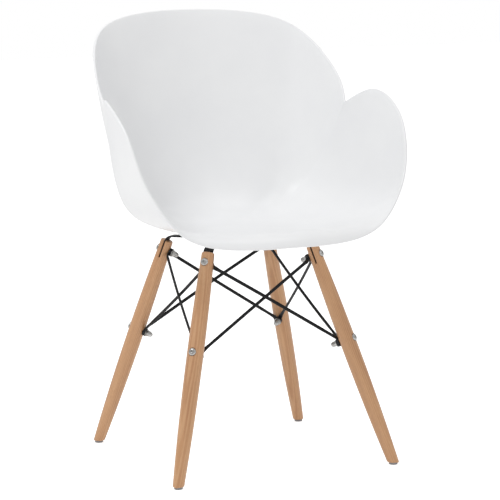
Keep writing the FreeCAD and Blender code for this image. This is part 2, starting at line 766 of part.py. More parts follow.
def make_leg(doc, layout, leg):
    """A leg: turned, cut level at the foot, rounded, slotted for its tab and bored for bolts."""
    body = doc.addObject("PartDesign::Body", "leg_body_" + leg)
    volume = turned_blank(doc, layout, body)

    level = plane_sketch(body, body.Name + "_level", "XZ_Plane")
    reach = "sizes.leg_foot_diameter"
    closed_outline(level, [
        ("-" + reach, floor_line("-" + reach)), (reach, floor_line(reach)),
        (reach, "-2 * " + reach), ("-" + reach, "-2 * " + reach)])
    volume = cut_pocket(doc, body, body.Name + "_level_cut", level, volume)
    round_end(doc, layout, body, "foot")
    round_end(doc, layout, body, "top")
    volume = body.Shape.Volume

    slot = plane_sketch(body, body.Name + "_slot", "XZ_Plane")
    half = "(sizes.bar_thickness / 2 + sizes.slot_clearance)"
    above = "%s + %g" % (LEG_TOP, OVERRUN)
    closed_outline(slot, [
        ("-" + half, LEG_TOP + " - sizes.slot_depth"), (half, LEG_TOP + " - sizes.slot_depth"),
        (half, above), ("-" + half, above)])
    volume = cut_pocket(doc, body, body.Name + "_slot_cut", slot, volume)

    for place in ("upper", "lower"):
        height = "sizes.%s_bolt_height / cos(sizes.splay_angle)" % place
        bore = bolt_circle(body, "%s_%s_bore" % (body.Name, place), BOLT_PASSAGE, height)
        volume = cut_pocket(doc, body, bore.Name + "_cut", bore, volume)
        face = bolt_circle(body, "%s_%s_face" % (body.Name, place),
                           "sizes.bolt_head_diameter / 2 + sizes.spot_face_margin", height)
        out = layout.leg_radius(layout.size(place + "_bolt_height")) - layout.size("spot_face_depth")
        face.AttachmentOffset = Placement(Vector(0, 0, out), Rotation())
        volume = cut_pocket(doc, body, face.Name + "_cut", face, volume, kind="Length",
                            midplane=False, reversed=True, length="sizes.leg_belly_diameter")
    body.Placement = layout.leg_frame(LEGS[leg])

    sole = leg_foot(layout, leg) + Vector(0, 0, layout.size("glide_height"))
    pin_hole = cylinder(doc, "pin_hole_" + leg, "sizes.glide_pin_diameter / 2 + sizes.thread_clearance",
                        "sizes.glide_pin_length + sizes.glide_pin_end_gap", Placement(sole, Rotation()))
    return subtract(doc, "leg_" + leg, body, [pin_hole])


def bolt_circle(body, name, radius, height):
    """A circle on the plane across the bolt, centred on the leg axis at a height up it."""
    sketch = plane_sketch(body, name, "YZ_Plane")
    circle = sketch.addGeometry(Part.Circle(Vector(0, 100, 0), UP, 3.0))
    sketch.addConstraint(Sketcher.Constraint("PointOnObject", circle, 3, -2))
    index = sketch.addConstraint(Sketcher.Constraint("DistanceY", -1, 1, circle, 3, 100.0))
    sketch.setExpression("Constraints[%d]" % index, height)
    index = sketch.addConstraint(Sketcher.Constraint("Radius", circle, 3.0))
    sketch.setExpression("Constraints[%d]" % index, radius)
    return sketch


def round_end(doc, layout, body, end):
    """Round the edge of the leg's foot or top."""
    before = body.Tip
    length = layout.along_leg(layout.size("leg_top_height"))
    wanted = length if end == "top" else 0.0
    reach = layout.size("leg_foot_diameter")
    names = []
    for index, edge in enumerate(before.Shape.Edges, start=1):
        middle = edge.BoundBox.Center
        flat = end == "foot" or edge.BoundBox.ZLength < 1e-3
        whole = edge.BoundBox.YLength > reach / 2
        if flat and whole and abs(middle.z - wanted) < reach / 2:
            names.append("Edge%d" % index)
    rounding = body.newObject("PartDesign::Fillet", "%s_%s_round" % (body.Name, end))
    rounding.Base = (before, names)
    bind(rounding, Radius="sizes.%s_rounding" % end)
    doc.recompute()


def leg_foot(layout, leg):
    """Point on the floor under the middle of a leg's sole."""
    glide = layout.size("glide_height")
    radius = layout.size("foot_radius") - glide * math.tan(layout.splay)
    return Rotation(UP, LEGS[leg]).multVec(Vector(radius, 0, 0))


def make_glide(doc, layout, leg):
    """Nylon glide: a disc with a bevelled sole and a pin that presses into the leg."""
    foot = leg_foot(layout, leg)
    bevel = cone(doc, "glide_bevel_" + leg, "sizes.glide_diameter / 2 - sizes.glide_bevel",
                 "sizes.glide_diameter / 2", "sizes.glide_bevel", Placement(foot, Rotation()))
    shoulder = foot + Vector(0, 0, layout.size("glide_bevel"))
    disc = cylinder(doc, "glide_disc_" + leg, "sizes.glide_diameter / 2",
                    "sizes.glide_height - sizes.glide_bevel", Placement(shoulder, Rotation()))
    middle = foot + Vector(0, 0, layout.size("glide_height") / 2)
    pin = cylinder(doc, "glide_pin_" + leg, "sizes.glide_pin_diameter / 2",
                   "sizes.glide_pin_length + sizes.glide_height / 2", Placement(middle, Rotation()))
    return join(doc, "glide_" + leg, [bevel, disc, pin])


# ---------------------------------------------------------------------------------------------
# Bolts, washers and cap nuts through the legs
# ---------------------------------------------------------------------------------------------

def bolt_stack(layout, height):
    """Where each thing on a bolt starts, along the bolt, outward positive."""
    head = layout.leg_radius(height) - layout.size("spot_face_depth")
    inner = layout.inner_stack(height)
    washer = inner - 2 * layout.size("eye_thickness") - layout.size("washer_thickness")
    return head, washer


def make_bolt(doc, layout, name, bearing, height):
    """Button-head bolt: the head outside the leg, the end inside the cap nut."""
    frame = layout.bolt_frame(bearing, height)
    head_seat, washer = bolt_stack(layout, height)
    tip = washer - layout.size("nut_bore_depth") + layout.size("bolt_end_gap")
    shank = doc.addObject("Part::Cylinder", name + "_shank")
    bind(shank, Radius="sizes.bolt_diameter / 2")
    shank.Height = head_seat - tip
    shank.Placement = frame * Placement(Vector(0, 0, tip), Rotation())
    rim = cylinder(doc, name + "_rim", "sizes.bolt_head_diameter / 2", "sizes.bolt_head_height / 2",
                   frame * Placement(Vector(0, 0, head_seat), Rotation()))
    crown_at = head_seat + layout.size("bolt_head_height") / 2
    crown = cone(doc, name + "_crown", "sizes.bolt_head_diameter / 2",
                 "sizes.bolt_head_diameter / 2 - sizes.bolt_head_height / 2", "sizes.bolt_head_height / 2",
                 frame * Placement(Vector(0, 0, crown_at), Rotation()))
    top = head_seat + layout.size("bolt_head_height") - layout.size("bolt_socket_depth")
    socket = hexagon(doc, name + "_socket", "sizes.bolt_socket_width",
                     "sizes.bolt_socket_depth + %g" % OVERRUN,
                     frame * Placement(Vector(0, 0, top), Rotation()))
    return subtract(doc, name, join(doc, name + "_body", [shank, rim, crown]), [socket])


def make_washer(doc, layout, name, bearing, height):
    """Flat washer between the inner rod eye and the cap nut."""
    along = Vector(0, 0, bolt_stack(layout, height)[1])
    start = layout.bolt_frame(bearing, height) * Placement(along, Rotation())
    disc = cylinder(doc, name + "_disc", "sizes.washer_diameter / 2", "sizes.washer_thickness", start)
    return ring(doc, name, disc, BOLT_PASSAGE, "sizes.washer_thickness")


def make_cap_nut(doc, layout, name, bearing, height):
    """Domed cap nut on the inner end of a bolt, pointing to the middle of the chair."""
    inward = layout.bolt_frame(bearing, height) * Placement(
        Vector(0, 0, bolt_stack(layout, height)[1]), Rotation(ACROSS, 180))
    hex_part = hexagon(doc, name + "_hex", "sizes.nut_width", "sizes.nut_hex_height", inward)
    dome_radius = layout.size("nut_width") / 2 - layout.size("hole_clearance")
    neck_height = layout.size("nut_length") - dome_radius
    neck = doc.addObject("Part::Cylinder", name + "_neck")
    neck.Radius = dome_radius
    neck.Height = neck_height
    neck.Placement = inward
    dome = doc.addObject("Part::Sphere", name + "_dome")
    dome.Radius = dome_radius
    dome.Placement = inward * Placement(Vector(0, 0, neck_height), Rotation())
    dome.Angle1 = 0
    bore = cylinder(doc, name + "_bore", "sizes.bolt_diameter / 2 + sizes.thread_clearance",
                    "sizes.nut_bore_depth", inward)
    return subtract(doc, name, join(doc, name + "_solid", [hex_part, neck, dome]), [bore])


def make_leg_fixings(doc, layout):
    """Bolts, washers and cap nuts, grouped by kind and by level."""
    nodes = []
    for place in ("upper", "lower"):
        height = layout.size(place + "_bolt_height")
        for kind, maker in (("bolt", make_bolt), ("washer", make_washer), ("cap_nut", make_cap_nut)):
            pieces = [maker(doc, layout, "%s_%s_%s" % (place, kind, leg), bearing, height)
                      for leg, bearing in LEGS.items()]
            nodes.append(group(doc, "%s_%ss" % (place, kind), pieces))
    return nodes


# ---------------------------------------------------------------------------------------------
# Crossed rods
# ---------------------------------------------------------------------------------------------

def eye_centre(layout, leg, height, layer):
    """Centre of a rod's eye on a bolt; layer 0 lies on the wood, layer 1 on layer 0."""
    frame = layout.bolt_frame(LEGS[leg], height)
    depth = layout.inner_stack(height) - (layer + 0.5) * layout.size("eye_thickness")
    return frame.multVec(Vector(0, 0, depth)), frame.Rotation.multVec(UP)


def rod_ends(layout, top_leg, low_leg, layer):
    """Eye centres, bolt directions and neck ends at the upper and lower end of a rod."""
    top, top_axis = eye_centre(layout, top_leg, layout.size("upper_bolt_height"), layer)
    low, low_axis = eye_centre(layout, low_leg, layout.size("lower_bolt_height"), layer)
    ends = []
    for centre, axis, other in ((top, top_axis, low), (low, low_axis, top)):
        run = other - centre
        flat = (run - axis * run.dot(axis)).normalize()
        ends.append((centre, axis, centre + flat * layout.size("neck_length")))
    return ends


def crossing(first, second):
    """Nearest points of two straight runs, and the unit vector from the first to the second."""
    a, b = first
    c, d = second
    normal = (b - a).cross(d - c).normalize()
    gap = (c - a).dot(normal)
    across = (d - c).cross(normal)
    reach = (c - a).dot(across) / (b - a).dot(across)
    on_first = a + (b - a) * reach
    if gap < 0:
        normal, gap = normal * -1, -gap
    return on_first, on_first + normal * gap, normal


def rod_run(start, middle, end, radius):
    """Round bar from start to end, bowed through middle, and its directions at both ends."""
    offset = middle.distanceToLine(start, end - start)
    if offset < STRAIGHT_LIMIT:
        run = end - start
        bar = Part.makeCylinder(radius, run.Length, start, run)
        return bar, run, run * -1
    path = Part.Arc(start, middle, end)
    first = path.tangent(path.FirstParameter)[0]
    last = path.tangent(path.LastParameter)[0] * -1
    disc = Part.Face(Part.Wire(Part.Circle(start, first, radius).toShape()))
    curve = path.toShape().Curve
    sweep = math.degrees(path.LastParameter - path.FirstParameter)
    return disc.revolve(curve.Center, curve.Axis, sweep), first, last


def eye_end(layout, centre, axis, neck, start, heading):
    """Flat eye, its strap and the swaged length where the flat grows into the round rod."""
    thick = layout.size("eye_thickness")
    width = layout.size("neck_width")
    length = layout.size("neck_length")
    along = (neck - centre).normalize()
    base = centre - axis * (thick / 2)
    eye = Part.makeCylinder(layout.size("eye_diameter") / 2, thick, base, axis)
    strap = Part.makeBox(length, width, thick)
    strap.Placement = Placement(base, Rotation(along, axis.cross(along), axis, "XYZ")) * Placement(
        Vector(0, -width / 2, 0), Rotation())
    wide = axis.cross(along)
    flat_end = Part.Ellipse(Vector(), width * SWAGE_SHARE / 2, thick * SWAGE_SHARE / 2).toShape()
    flat_end.Placement = Placement(neck - along * (thick / 2), Rotation(wide, axis * -1, along, "ZXY"))
    round_section = Part.Circle(Vector(), UP, layout.size("rod_diameter") / 2).toShape()
    round_section.Placement = Placement(start, Rotation(wide, axis * -1, heading, "ZXY"))
    swage = Part.makeLoft([Part.Wire(flat_end), Part.Wire(round_section)], True, False)
    return [eye, strap, swage]


def rod_solid(layout, ends, middle):
    """Round rod with a slight bow at the crossing and a flattened, bored eye at each end."""
    taper = layout.size("swage_length")
    starts = [neck + (middle - neck).normalize() * taper for centre, axis, neck in ends]
    bar, first, last = rod_run(starts[0], middle, starts[1], layout.size("rod_diameter") / 2)
    solids = []
    for (centre, axis, neck), start, heading in zip(ends, starts, (first, last)):
        solids += eye_end(layout, centre, axis, neck, start, heading)
    rod = bar.fuse(solids).removeSplitter()
    hole = layout.size("bolt_diameter") / 2 + layout.size("hole_clearance")
    thick = layout.size("eye_thickness")
    for centre, axis, neck in ends:
        rod = rod.cut(Part.makeCylinder(hole, 3 * thick, centre - axis * (1.5 * thick), axis))
    return rod


def make_rods(doc, layout):
    """Two rods on each side of the base, crossing where they are spot-welded."""
    clear = layout.size("rod_diameter") + layout.size("weld_gap")
    nodes = []
    for side, (start, following) in SIDES.items():
        outer = rod_ends(layout, start, following, 0)
        inner = rod_ends(layout, following, start, 1)
        near, far, away = crossing((outer[0][2], outer[1][2]), (inner[0][2], inner[1][2]))
        bow = max(0.0, (clear - (far - near).Length) / 2)
        for number, ends, middle in ((1, outer, near - away * bow), (2, inner, far + away * bow)):
            rod = doc.addObject("Part::Feature", "brace_rod_%s_%d" % (side, number))
            rod.Shape = rod_solid(layout, ends, middle)
            nodes.append(rod)
    return nodes


# ---------------------------------------------------------------------------------------------
# Build, check and write
# ---------------------------------------------------------------------------------------------

def check(doc, nodes):
    """Refuse to write anything unless every object is sound."""
    for thing in doc.Objects:
        if "Invalid" in thing.State or "Error" in thing.State:
            raise RuntimeError("%s: %s" % (thing.Name, thing.State))
    for node in nodes:
        if node.Shape.isNull() or not node.Shape.isValid():
            raise RuntimeError("%s has no valid shape" % node.Label)


def write(nodes):
    """Write each sub-part to parts/NODE.step."""
    os.makedirs("parts", exist_ok=True)
    for node in nodes:
        node.Shape.exportStep(os.path.join("parts", node.Label + ".step"))


def build():
    """Make the whole chair."""
    doc = FreeCAD.newDocument("dining_armchair")
    layout = Layout(make_sheet(doc))
    nodes = make_shell(doc, layout)
    nodes += make_seat_fixings(doc, layout)
    nodes += make_cross(doc, layout)
    nodes += [make_leg(doc, layout, leg) for leg in LEGS]
    nodes += [make_glide(doc, layout, leg) for leg in LEGS]
    nodes += make_leg_fixings(doc, layout)
    nodes += make_rods(doc, layout)
    doc.recompute()
    check(doc, nodes)
    write(nodes)


build()
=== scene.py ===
import logging
import math
from collections.abc import Callable, Iterator, Sequence
from contextlib import contextmanager
from dataclasses import dataclass, field
from enum import Enum

import bmesh
import bpy
from mathutils import Matrix, Vector


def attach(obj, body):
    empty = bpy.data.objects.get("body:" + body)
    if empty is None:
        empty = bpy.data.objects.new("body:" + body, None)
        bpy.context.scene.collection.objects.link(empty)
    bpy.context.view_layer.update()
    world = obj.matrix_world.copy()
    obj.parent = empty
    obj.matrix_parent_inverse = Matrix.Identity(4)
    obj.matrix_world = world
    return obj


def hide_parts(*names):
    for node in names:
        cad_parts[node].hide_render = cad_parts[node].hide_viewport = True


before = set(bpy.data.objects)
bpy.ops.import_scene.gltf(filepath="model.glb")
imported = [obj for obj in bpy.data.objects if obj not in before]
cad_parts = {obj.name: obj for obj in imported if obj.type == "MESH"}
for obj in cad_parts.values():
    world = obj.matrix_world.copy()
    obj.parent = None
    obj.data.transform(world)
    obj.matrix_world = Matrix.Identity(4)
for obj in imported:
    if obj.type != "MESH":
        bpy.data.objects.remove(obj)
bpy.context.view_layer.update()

log = logging.getLogger("armchair")

Colour = tuple[float, float, float, float]

UP = Vector((0.0, 0.0, 1.0))
ORIGIN = Vector((0.0, 0.0, 0.0))
TOUCH = 1e-5  # metres within which an edge or face counts as lying at a level
MIX_COLOURS, MIX_RESULT = (6, 7), 2  # sockets of a mix node's colours, whose names are not unique
FACING = 0.9  # share of a unit normal along an axis from which a face counts as facing it


class LegPlace(Enum):
    """Where a leg stands, with its bearing from +X towards +Y in degrees."""

    FRONT_RIGHT = -45.0
    BACK_RIGHT = 45.0
    BACK_LEFT = 135.0
    FRONT_LEFT = 225.0

    @property
    def label(self) -> str:
        """Name used in piece names."""
        return self.name.lower()


class Side(Enum):
    """A side of the base, with the leg it starts from and the next leg round."""

    RIGHT = (LegPlace.FRONT_RIGHT, LegPlace.BACK_RIGHT)
    BACK = (LegPlace.BACK_RIGHT, LegPlace.BACK_LEFT)
    LEFT = (LegPlace.BACK_LEFT, LegPlace.FRONT_LEFT)
    FRONT = (LegPlace.FRONT_LEFT, LegPlace.FRONT_RIGHT)


class Level(Enum):
    """The two rows of bolts through the legs."""

    UPPER = "upper"
    LOWER = "lower"


class Petal(Enum):
    """The two lobes of the tub, by the ribs from notch to middle."""

    BACK = ("notch", "side", "shoulder", "crown")
    FRONT = ("notch", "crest", "nose", "knee", "corner", "lip")


class Element(Enum):
    """What an edit-mode selection is made of."""

    EDGES = "EDGE"
    FACES = "FACE"


# ---------------------------------------------------------------------------------------------
# Bench tools
# ---------------------------------------------------------------------------------------------

def turned(bearing: float) -> Matrix:
    """Turn about the vertical by a bearing in degrees."""
    return Matrix.Rotation(math.radians(bearing), 4, "Z")


def clear_bench() -> None:
    """Leave edit mode and deselect everything."""
    if bpy.context.object is not None and bpy.context.object.mode != "OBJECT":
        bpy.ops.object.mode_set(mode="OBJECT")
    bpy.ops.object.select_all(action="DESELECT")


class Workpiece:
    """A mesh being shaped; each tool acts on what was picked last."""

    def __init__(self, name: str) -> None:
        """Take up the mesh that was just added.

        Args:
            name: Name of the piece.
        """
        self.thing: bpy.types.Object = bpy.context.active_object
        self.thing.name = name
        self.thing.data.name = name

    def take_up(self) -> None:
        """Select this piece alone and make it the active one."""
        clear_bench()
        self.thing.select_set(True)
        bpy.context.view_layer.objects.active = self.thing

    @classmethod
    def drum(cls, name: str, radius: float, depth: float, base: Vector = ORIGIN,
             sides: int = 48) -> "Workpiece":
        """Add a closed upright cylinder.

        Args:
            name: Name of the piece.
            radius: Radius of the cylinder.
            depth: Its height.
            base: Centre of its lower face.
            sides: Number of faces round it.

        Returns:
            The new workpiece.
        """
        clear_bench()
        bpy.ops.mesh.primitive_cylinder_add(
            vertices=sides, radius=radius, depth=depth, location=base + UP * depth / 2)
        return cls(name).settle(Matrix.Identity(4))

    @classmethod
    def disc(cls, name: str, radius: float, base: Vector = ORIGIN, sides: int = 48) -> "Workpiece":
        """Add a flat filled disc.

        Args:
            name: Name of the piece.
            radius: Radius of the disc.
            base: Its centre.
            sides: Number of corners round it.

        Returns:
            The new workpiece.
        """
        clear_bench()
        bpy.ops.mesh.primitive_circle_add(vertices=sides, radius=radius, fill_type="NGON", location=base)
        return cls(name).settle(Matrix.Identity(4))

    @classmethod
    def block(cls, name: str, low: Vector, high: Vector) -> "Workpiece":
        """Add a box between two corners.

        Args:
            name: Name of the piece.
            low: Lowest corner.
            high: Highest corner.

        Returns:
            The new workpiece.
        """
        clear_bench()
        bpy.ops.mesh.primitive_cube_add(size=1.0, location=(low + high) / 2, scale=high - low)
        return cls(name).settle(Matrix.Identity(4))

    @classmethod
    def sheet(cls, name: str, columns: int, rows: int) -> "Workpiece":
        """Add a flat grid of faces, one unit square, to be shaped.

        Args:
            name: Name of the piece.
            columns: Number of faces along X.
            rows: Number of faces along Y.

        Returns:
            The new workpiece.
        """
        clear_bench()
        bpy.ops.mesh.primitive_grid_add(x_subdivisions=columns, y_subdivisions=rows, size=1.0)
        return cls(name)

    @contextmanager
    def edit(self) -> Iterator[None]:
        """Work in edit mode on this piece alone."""
        self.take_up()
        bpy.ops.object.mode_set(mode="EDIT")
        yield
        bpy.ops.object.mode_set(mode="OBJECT")

    def pick(self, kind: Element, test: Callable[[Vector, Vector], bool]) -> None:
        """Select elements by where they are. Only works inside edit().

        Args:
            kind: Edges or faces.
            test: Given a middle and a direction (an edge's run, a face's normal), says yes or no.
        """
        bpy.ops.mesh.select_mode(type=kind.value)
        bpy.ops.mesh.select_all(action="DESELECT")
        mesh = bmesh.from_edit_mesh(self.thing.data)
        if kind is Element.EDGES:
            for edge in mesh.edges:
                start, end = (vert.co for vert in edge.verts)
                edge.select_set(test((start + end) / 2, (end - start).normalized()))
        else:
            for face in mesh.faces:
                face.select_set(test(face.calc_center_median(), face.normal))
        mesh.select_flush_mode()
        bmesh.update_edit_mesh(self.thing.data)

    def grow(self, move: Vector, scale: float = 1.0) -> None:
        """Extrude the picked faces, then scale the new ones in the X-Y plane.

        Args:
            move: How far the new faces move.
            scale: Their size against the old ones.
        """
        bpy.ops.mesh.extrude_region_move(TRANSFORM_OT_translate={"value": move})
        if scale != 1.0:
            bpy.ops.transform.resize(value=(scale, scale, 1.0))

    def soften(self, width: float, steps: int = 2, limit: float = 40.0) -> None:
        """Round every edge sharper than a limit.

        Args:
            width: Width of the rounding.
            steps: Number of faces across it.
            limit: Smallest angle between faces that is rounded, in degrees.
        """
        self.finish_with("BEVEL", width=width, segments=steps, limit_method="ANGLE",
                         angle_limit=math.radians(limit), miter_outer="MITER_ARC")

    def carve(self, cutter: "Workpiece") -> None:
        """Cut another workpiece out of this one and throw the cutter away.

        Args:
            cutter: What is cut away.
        """
        self.finish_with("BOOLEAN", operation="DIFFERENCE", solver="EXACT", object=cutter.thing)
        bpy.data.objects.remove(cutter.thing)

    def finish_with(self, kind: str, **settings: object) -> None:
        """Add a modifier and apply it.

        Args:
            kind: The modifier's type.
            **settings: Its settings.
        """
        self.take_up()
        modifier = self.thing.modifiers.new(kind.title(), kind)
        for key, value in settings.items():
            setattr(modifier, key, value)
        bpy.ops.object.modifier_apply(modifier=modifier.name)

    def settle(self, place: Matrix) -> "Workpiece":
        """Move the piece to a place and keep that place in its mesh.

        Args:
            place: Where the piece goes.

        Returns:
            The piece itself.
        """
        self.take_up()
        self.thing.matrix_world = place @ self.thing.matrix_world
        bpy.ops.object.transform_apply(location=True, rotation=True, scale=True)
        return self

    def twin(self, name: str) -> "Workpiece":
        """Copy the piece with a mesh of its own.

        Args:
            name: Name of the copy.

        Returns:
            The copy.
        """
        self.take_up()
        bpy.ops.object.duplicate(linked=False)
        return Workpiece(name)

    def take_in(self, others: Sequence["Workpiece"]) -> None:
        """Join other workpieces to this one.

        Args:
            others: The pieces that become part of this one.
        """
        self.take_up()
        for other in others:
            other.thing.select_set(True)
        bpy.ops.object.join()

    def tidy(self, merge: float = 1e-6) -> None:
        """Merge doubles and turn every face outward.

        Args:
            merge: Distance below which vertices become one.
        """
        with self.edit():
            bpy.ops.mesh.select_mode(type="VERT")
            bpy.ops.mesh.select_all(action="SELECT")
            bpy.ops.mesh.remove_doubles(threshold=merge)
            bpy.ops.mesh.normals_make_consistent(inside=False)

    def polish(self, angle: float = 35.0) -> None:
        """Shade smooth, except over edges sharper than an angle.

        Args:
            angle: The limit in degrees.
        """
        self.take_up()
        bpy.ops.object.shade_smooth_by_angle(angle=math.radians(angle))

    def hand_over(self, material: bpy.types.Material, slot: str, *nodes: str) -> None:
        """Give the piece its finish and let it stand for its CAD nodes.

        Args:
            material: The finish.
            slot: Not used.
            *nodes: CAD nodes that the piece stands for.
        """
        self.thing.data.materials.clear()
        self.thing.data.materials.append(material)
        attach(self.thing, "root")
        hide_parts(*nodes)
        log.info("%s stands for %s", self.thing.name, ", ".join(nodes))


def dress_cad(material: bpy.types.Material, *nodes: str) -> None:
    """Give carried-over CAD nodes their finish.

    Args:
        material: The finish.
        *nodes: The nodes that get it.
    """
    for name in nodes:
        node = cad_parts[name]
        if not node.material_slots:
            node.data.materials.append(material)
        for place in node.material_slots:
            place.material = material
        log.info("%s dressed in %s", name, material.name)


# ---------------------------------------------------------------------------------------------
# Shader wiring and shared effects
# ---------------------------------------------------------------------------------------------

class Wiring:
    """Adds and joins the nodes of one shader tree."""

    def __init__(self, tree: bpy.types.NodeTree) -> None:
        """Start on a tree.

        Args:
            tree: The node tree of a material or a group.
        """
        self.tree = tree

    def add(self, kind: str, inputs: dict[str, object] | None = None, **settings: object) -> bpy.types.Node:
        """Add a node.

        Args:
            kind: The node's type.
            inputs: Values, or sockets to be joined, by the input's name.
            **settings: The node's own settings.

        Returns:
            The new node.
        """
        node = self.tree.nodes.new(kind)
        for key, value in settings.items():
            setattr(node, key, value)
        for key, value in (inputs or {}).items():
            self.feed(node.inputs[key], value)
        return node

    def feed(self, socket: bpy.types.NodeSocket, value: object) -> None:
        """Set an input, or join it to an output.

        Args:
            socket: The input.
            value: A plain value or an output socket.
        """
        if isinstance(value, bpy.types.NodeSocket):
            self.tree.links.new(value, socket)
        else:
            socket.default_value = value

    def ramp(self, source: bpy.types.NodeSocket, low: float, high: float,
             out_low: float = 0.0, out_high: float = 1.0) -> bpy.types.NodeSocket:
        """Stretch a value from one range to another.

        Args:
            source: The value.
            low: Value that becomes out_low.
            high: Value that becomes out_high.
            out_low: Start of the new range.
            out_high: End of the new range.

        Returns:
            The stretched value.
        """
        node = self.add("ShaderNodeMapRange", {
            "Value": source, "From Min": low, "From Max": high, "To Min": out_low, "To Max": out_high})
        return node.outputs["Result"]

    def blend(self, share: bpy.types.NodeSocket, first: object, second: object) -> bpy.types.NodeSocket:
        """Mix two colours.

        Args:
            share: How much of the second.
            first: A colour or a socket.
            second: A colour or a socket.

        Returns:
            The mixed colour.
        """
        node = self.add("ShaderNodeMix", data_type="RGBA")
        self.feed(node.inputs["Factor"], share)
        for socket, value in zip(MIX_COLOURS, (first, second)):
            self.feed(node.inputs[socket], value)
        return node.outputs[MIX_RESULT]

    def combine(self, operation: str, first: object, second: object) -> bpy.types.NodeSocket:
        """Combine two numbers.

        Args:
            operation: The operation's name.
            first: A number or a socket.
            second: A number or a socket.

        Returns:
            The result.
        """
        node = self.add("ShaderNodeMath", operation=operation)
        self.feed(node.inputs[0], first)
        self.feed(node.inputs[1], second)
        return node.outputs[0]


@dataclass
class Effect:
    """A shader node group: an effect that several finishes place with their own values.

    Its inputs are numbers with a usual value, or a vector where there is none.
    """

    name: str
    inputs: dict[str, float | None]
    outputs: tuple[str, ...]
    tree: bpy.types.NodeTree = field(init=False)
    wiring: Wiring = field(init=False)
    entry: bpy.types.Node = field(init=False)
    exit: bpy.types.Node = field(init=False)

    def __post_init__(self) -> None:
        """Make the empty group with its sockets."""
        self.tree = bpy.data.node_groups.new(self.name, "ShaderNodeTree")
        for name, value in self.inputs.items():
            kind = "NodeSocketVector" if value is None else "NodeSocketFloat"
            socket = self.tree.interface.new_socket(name=name, in_out="INPUT", socket_type=kind)
            if value is not None:
                socket.default_value = value
        for name in self.outputs:
            self.tree.interface.new_socket(name=name, in_out="OUTPUT", socket_type="NodeSocketFloat")
        self.wiring = Wiring(self.tree)
        self.entry = self.wiring.add("NodeGroupInput")
        self.exit = self.wiring.add("NodeGroupOutput")

    def place(self, wiring: Wiring, inputs: dict[str, object]) -> bpy.types.Node:
        """Place the group in a material.

        Args:
            wiring: The material's wiring.
            inputs: Values or sockets by the group's input names.

        Returns:
            The group node.
        """
        node = wiring.add("ShaderNodeGroup")
        node.node_tree = self.tree
        for key, value in inputs.items():
            wiring.feed(node.inputs[key], value)
        return node


def make_drift() -> Effect:
    """Slow, cloudy variation over a surface.

    Returns:
        The effect, whose Mask runs from 0 to 1.
    """
    effect = Effect("slow_drift", {"Place": None, "Size": 0.1}, ("Mask",))
    wiring = effect.wiring
    scale = wiring.combine("DIVIDE", 1.0, effect.entry.outputs["Size"])
    cloud = wiring.add("ShaderNodeTexNoise", {
        "Vector": effect.entry.outputs["Place"], "Scale": scale, "Detail": 3.0, "Roughness": 0.55})
    wiring.feed(effect.exit.inputs["Mask"], wiring.ramp(cloud.outputs["Fac"], 0.3, 0.7))
    return effect


def make_grit() -> Effect:
    """Fine even grain such as a spark-eroded mould or a powder coat leaves.

    Returns:
        The effect, with a Height for a Bump node.
    """
    effect = Effect("fine_grit", {"Place": None, "Size": 0.001, "Waviness": 0.3}, ("Height",))
    wiring = effect.wiring
    scale = wiring.combine("DIVIDE", 1.0, effect.entry.outputs["Size"])
    grain = wiring.add("ShaderNodeTexNoise", {
        "Vector": effect.entry.outputs["Place"], "Scale": scale, "Detail": 2.0, "Roughness": 0.6})
    coarse = wiring.combine("DIVIDE", scale, 9.0)
    wave = wiring.add("ShaderNodeTexNoise", {
        "Vector": effect.entry.outputs["Place"], "Scale": coarse, "Detail": 1.0})
    swell = wiring.combine("MULTIPLY", wave.outputs["Fac"], effect.entry.outputs["Waviness"])
    wiring.feed(effect.exit.inputs["Height"], wiring.combine("ADD", grain.outputs["Fac"], swell))
    return effect


def make_rub() -> Effect:
    """Wear where an outer edge is handled or knocked.

    Returns:
        The effect, whose Mask is 1 on worn edges.
    """
    effect = Effect("edge_rub", {"Place": None, "Reach": 0.06}, ("Mask",))
    wiring = effect.wiring
    shape = wiring.add("ShaderNodeNewGeometry")
    high = wiring.combine("ADD", 0.5, effect.entry.outputs["Reach"])
    edge = wiring.add("ShaderNodeMapRange", {
        "Value": shape.outputs["Pointiness"], "From Min": 0.52, "From Max": high})
    breaks = wiring.add("ShaderNodeTexNoise", {
        "Vector": effect.entry.outputs["Place"], "Scale": 240.0, "Detail": 4.0})
    patch = wiring.ramp(breaks.outputs["Fac"], 0.42, 0.62)
    wiring.feed(effect.exit.inputs["Mask"], wiring.combine("MULTIPLY", edge.outputs["Result"], patch))
    return effect


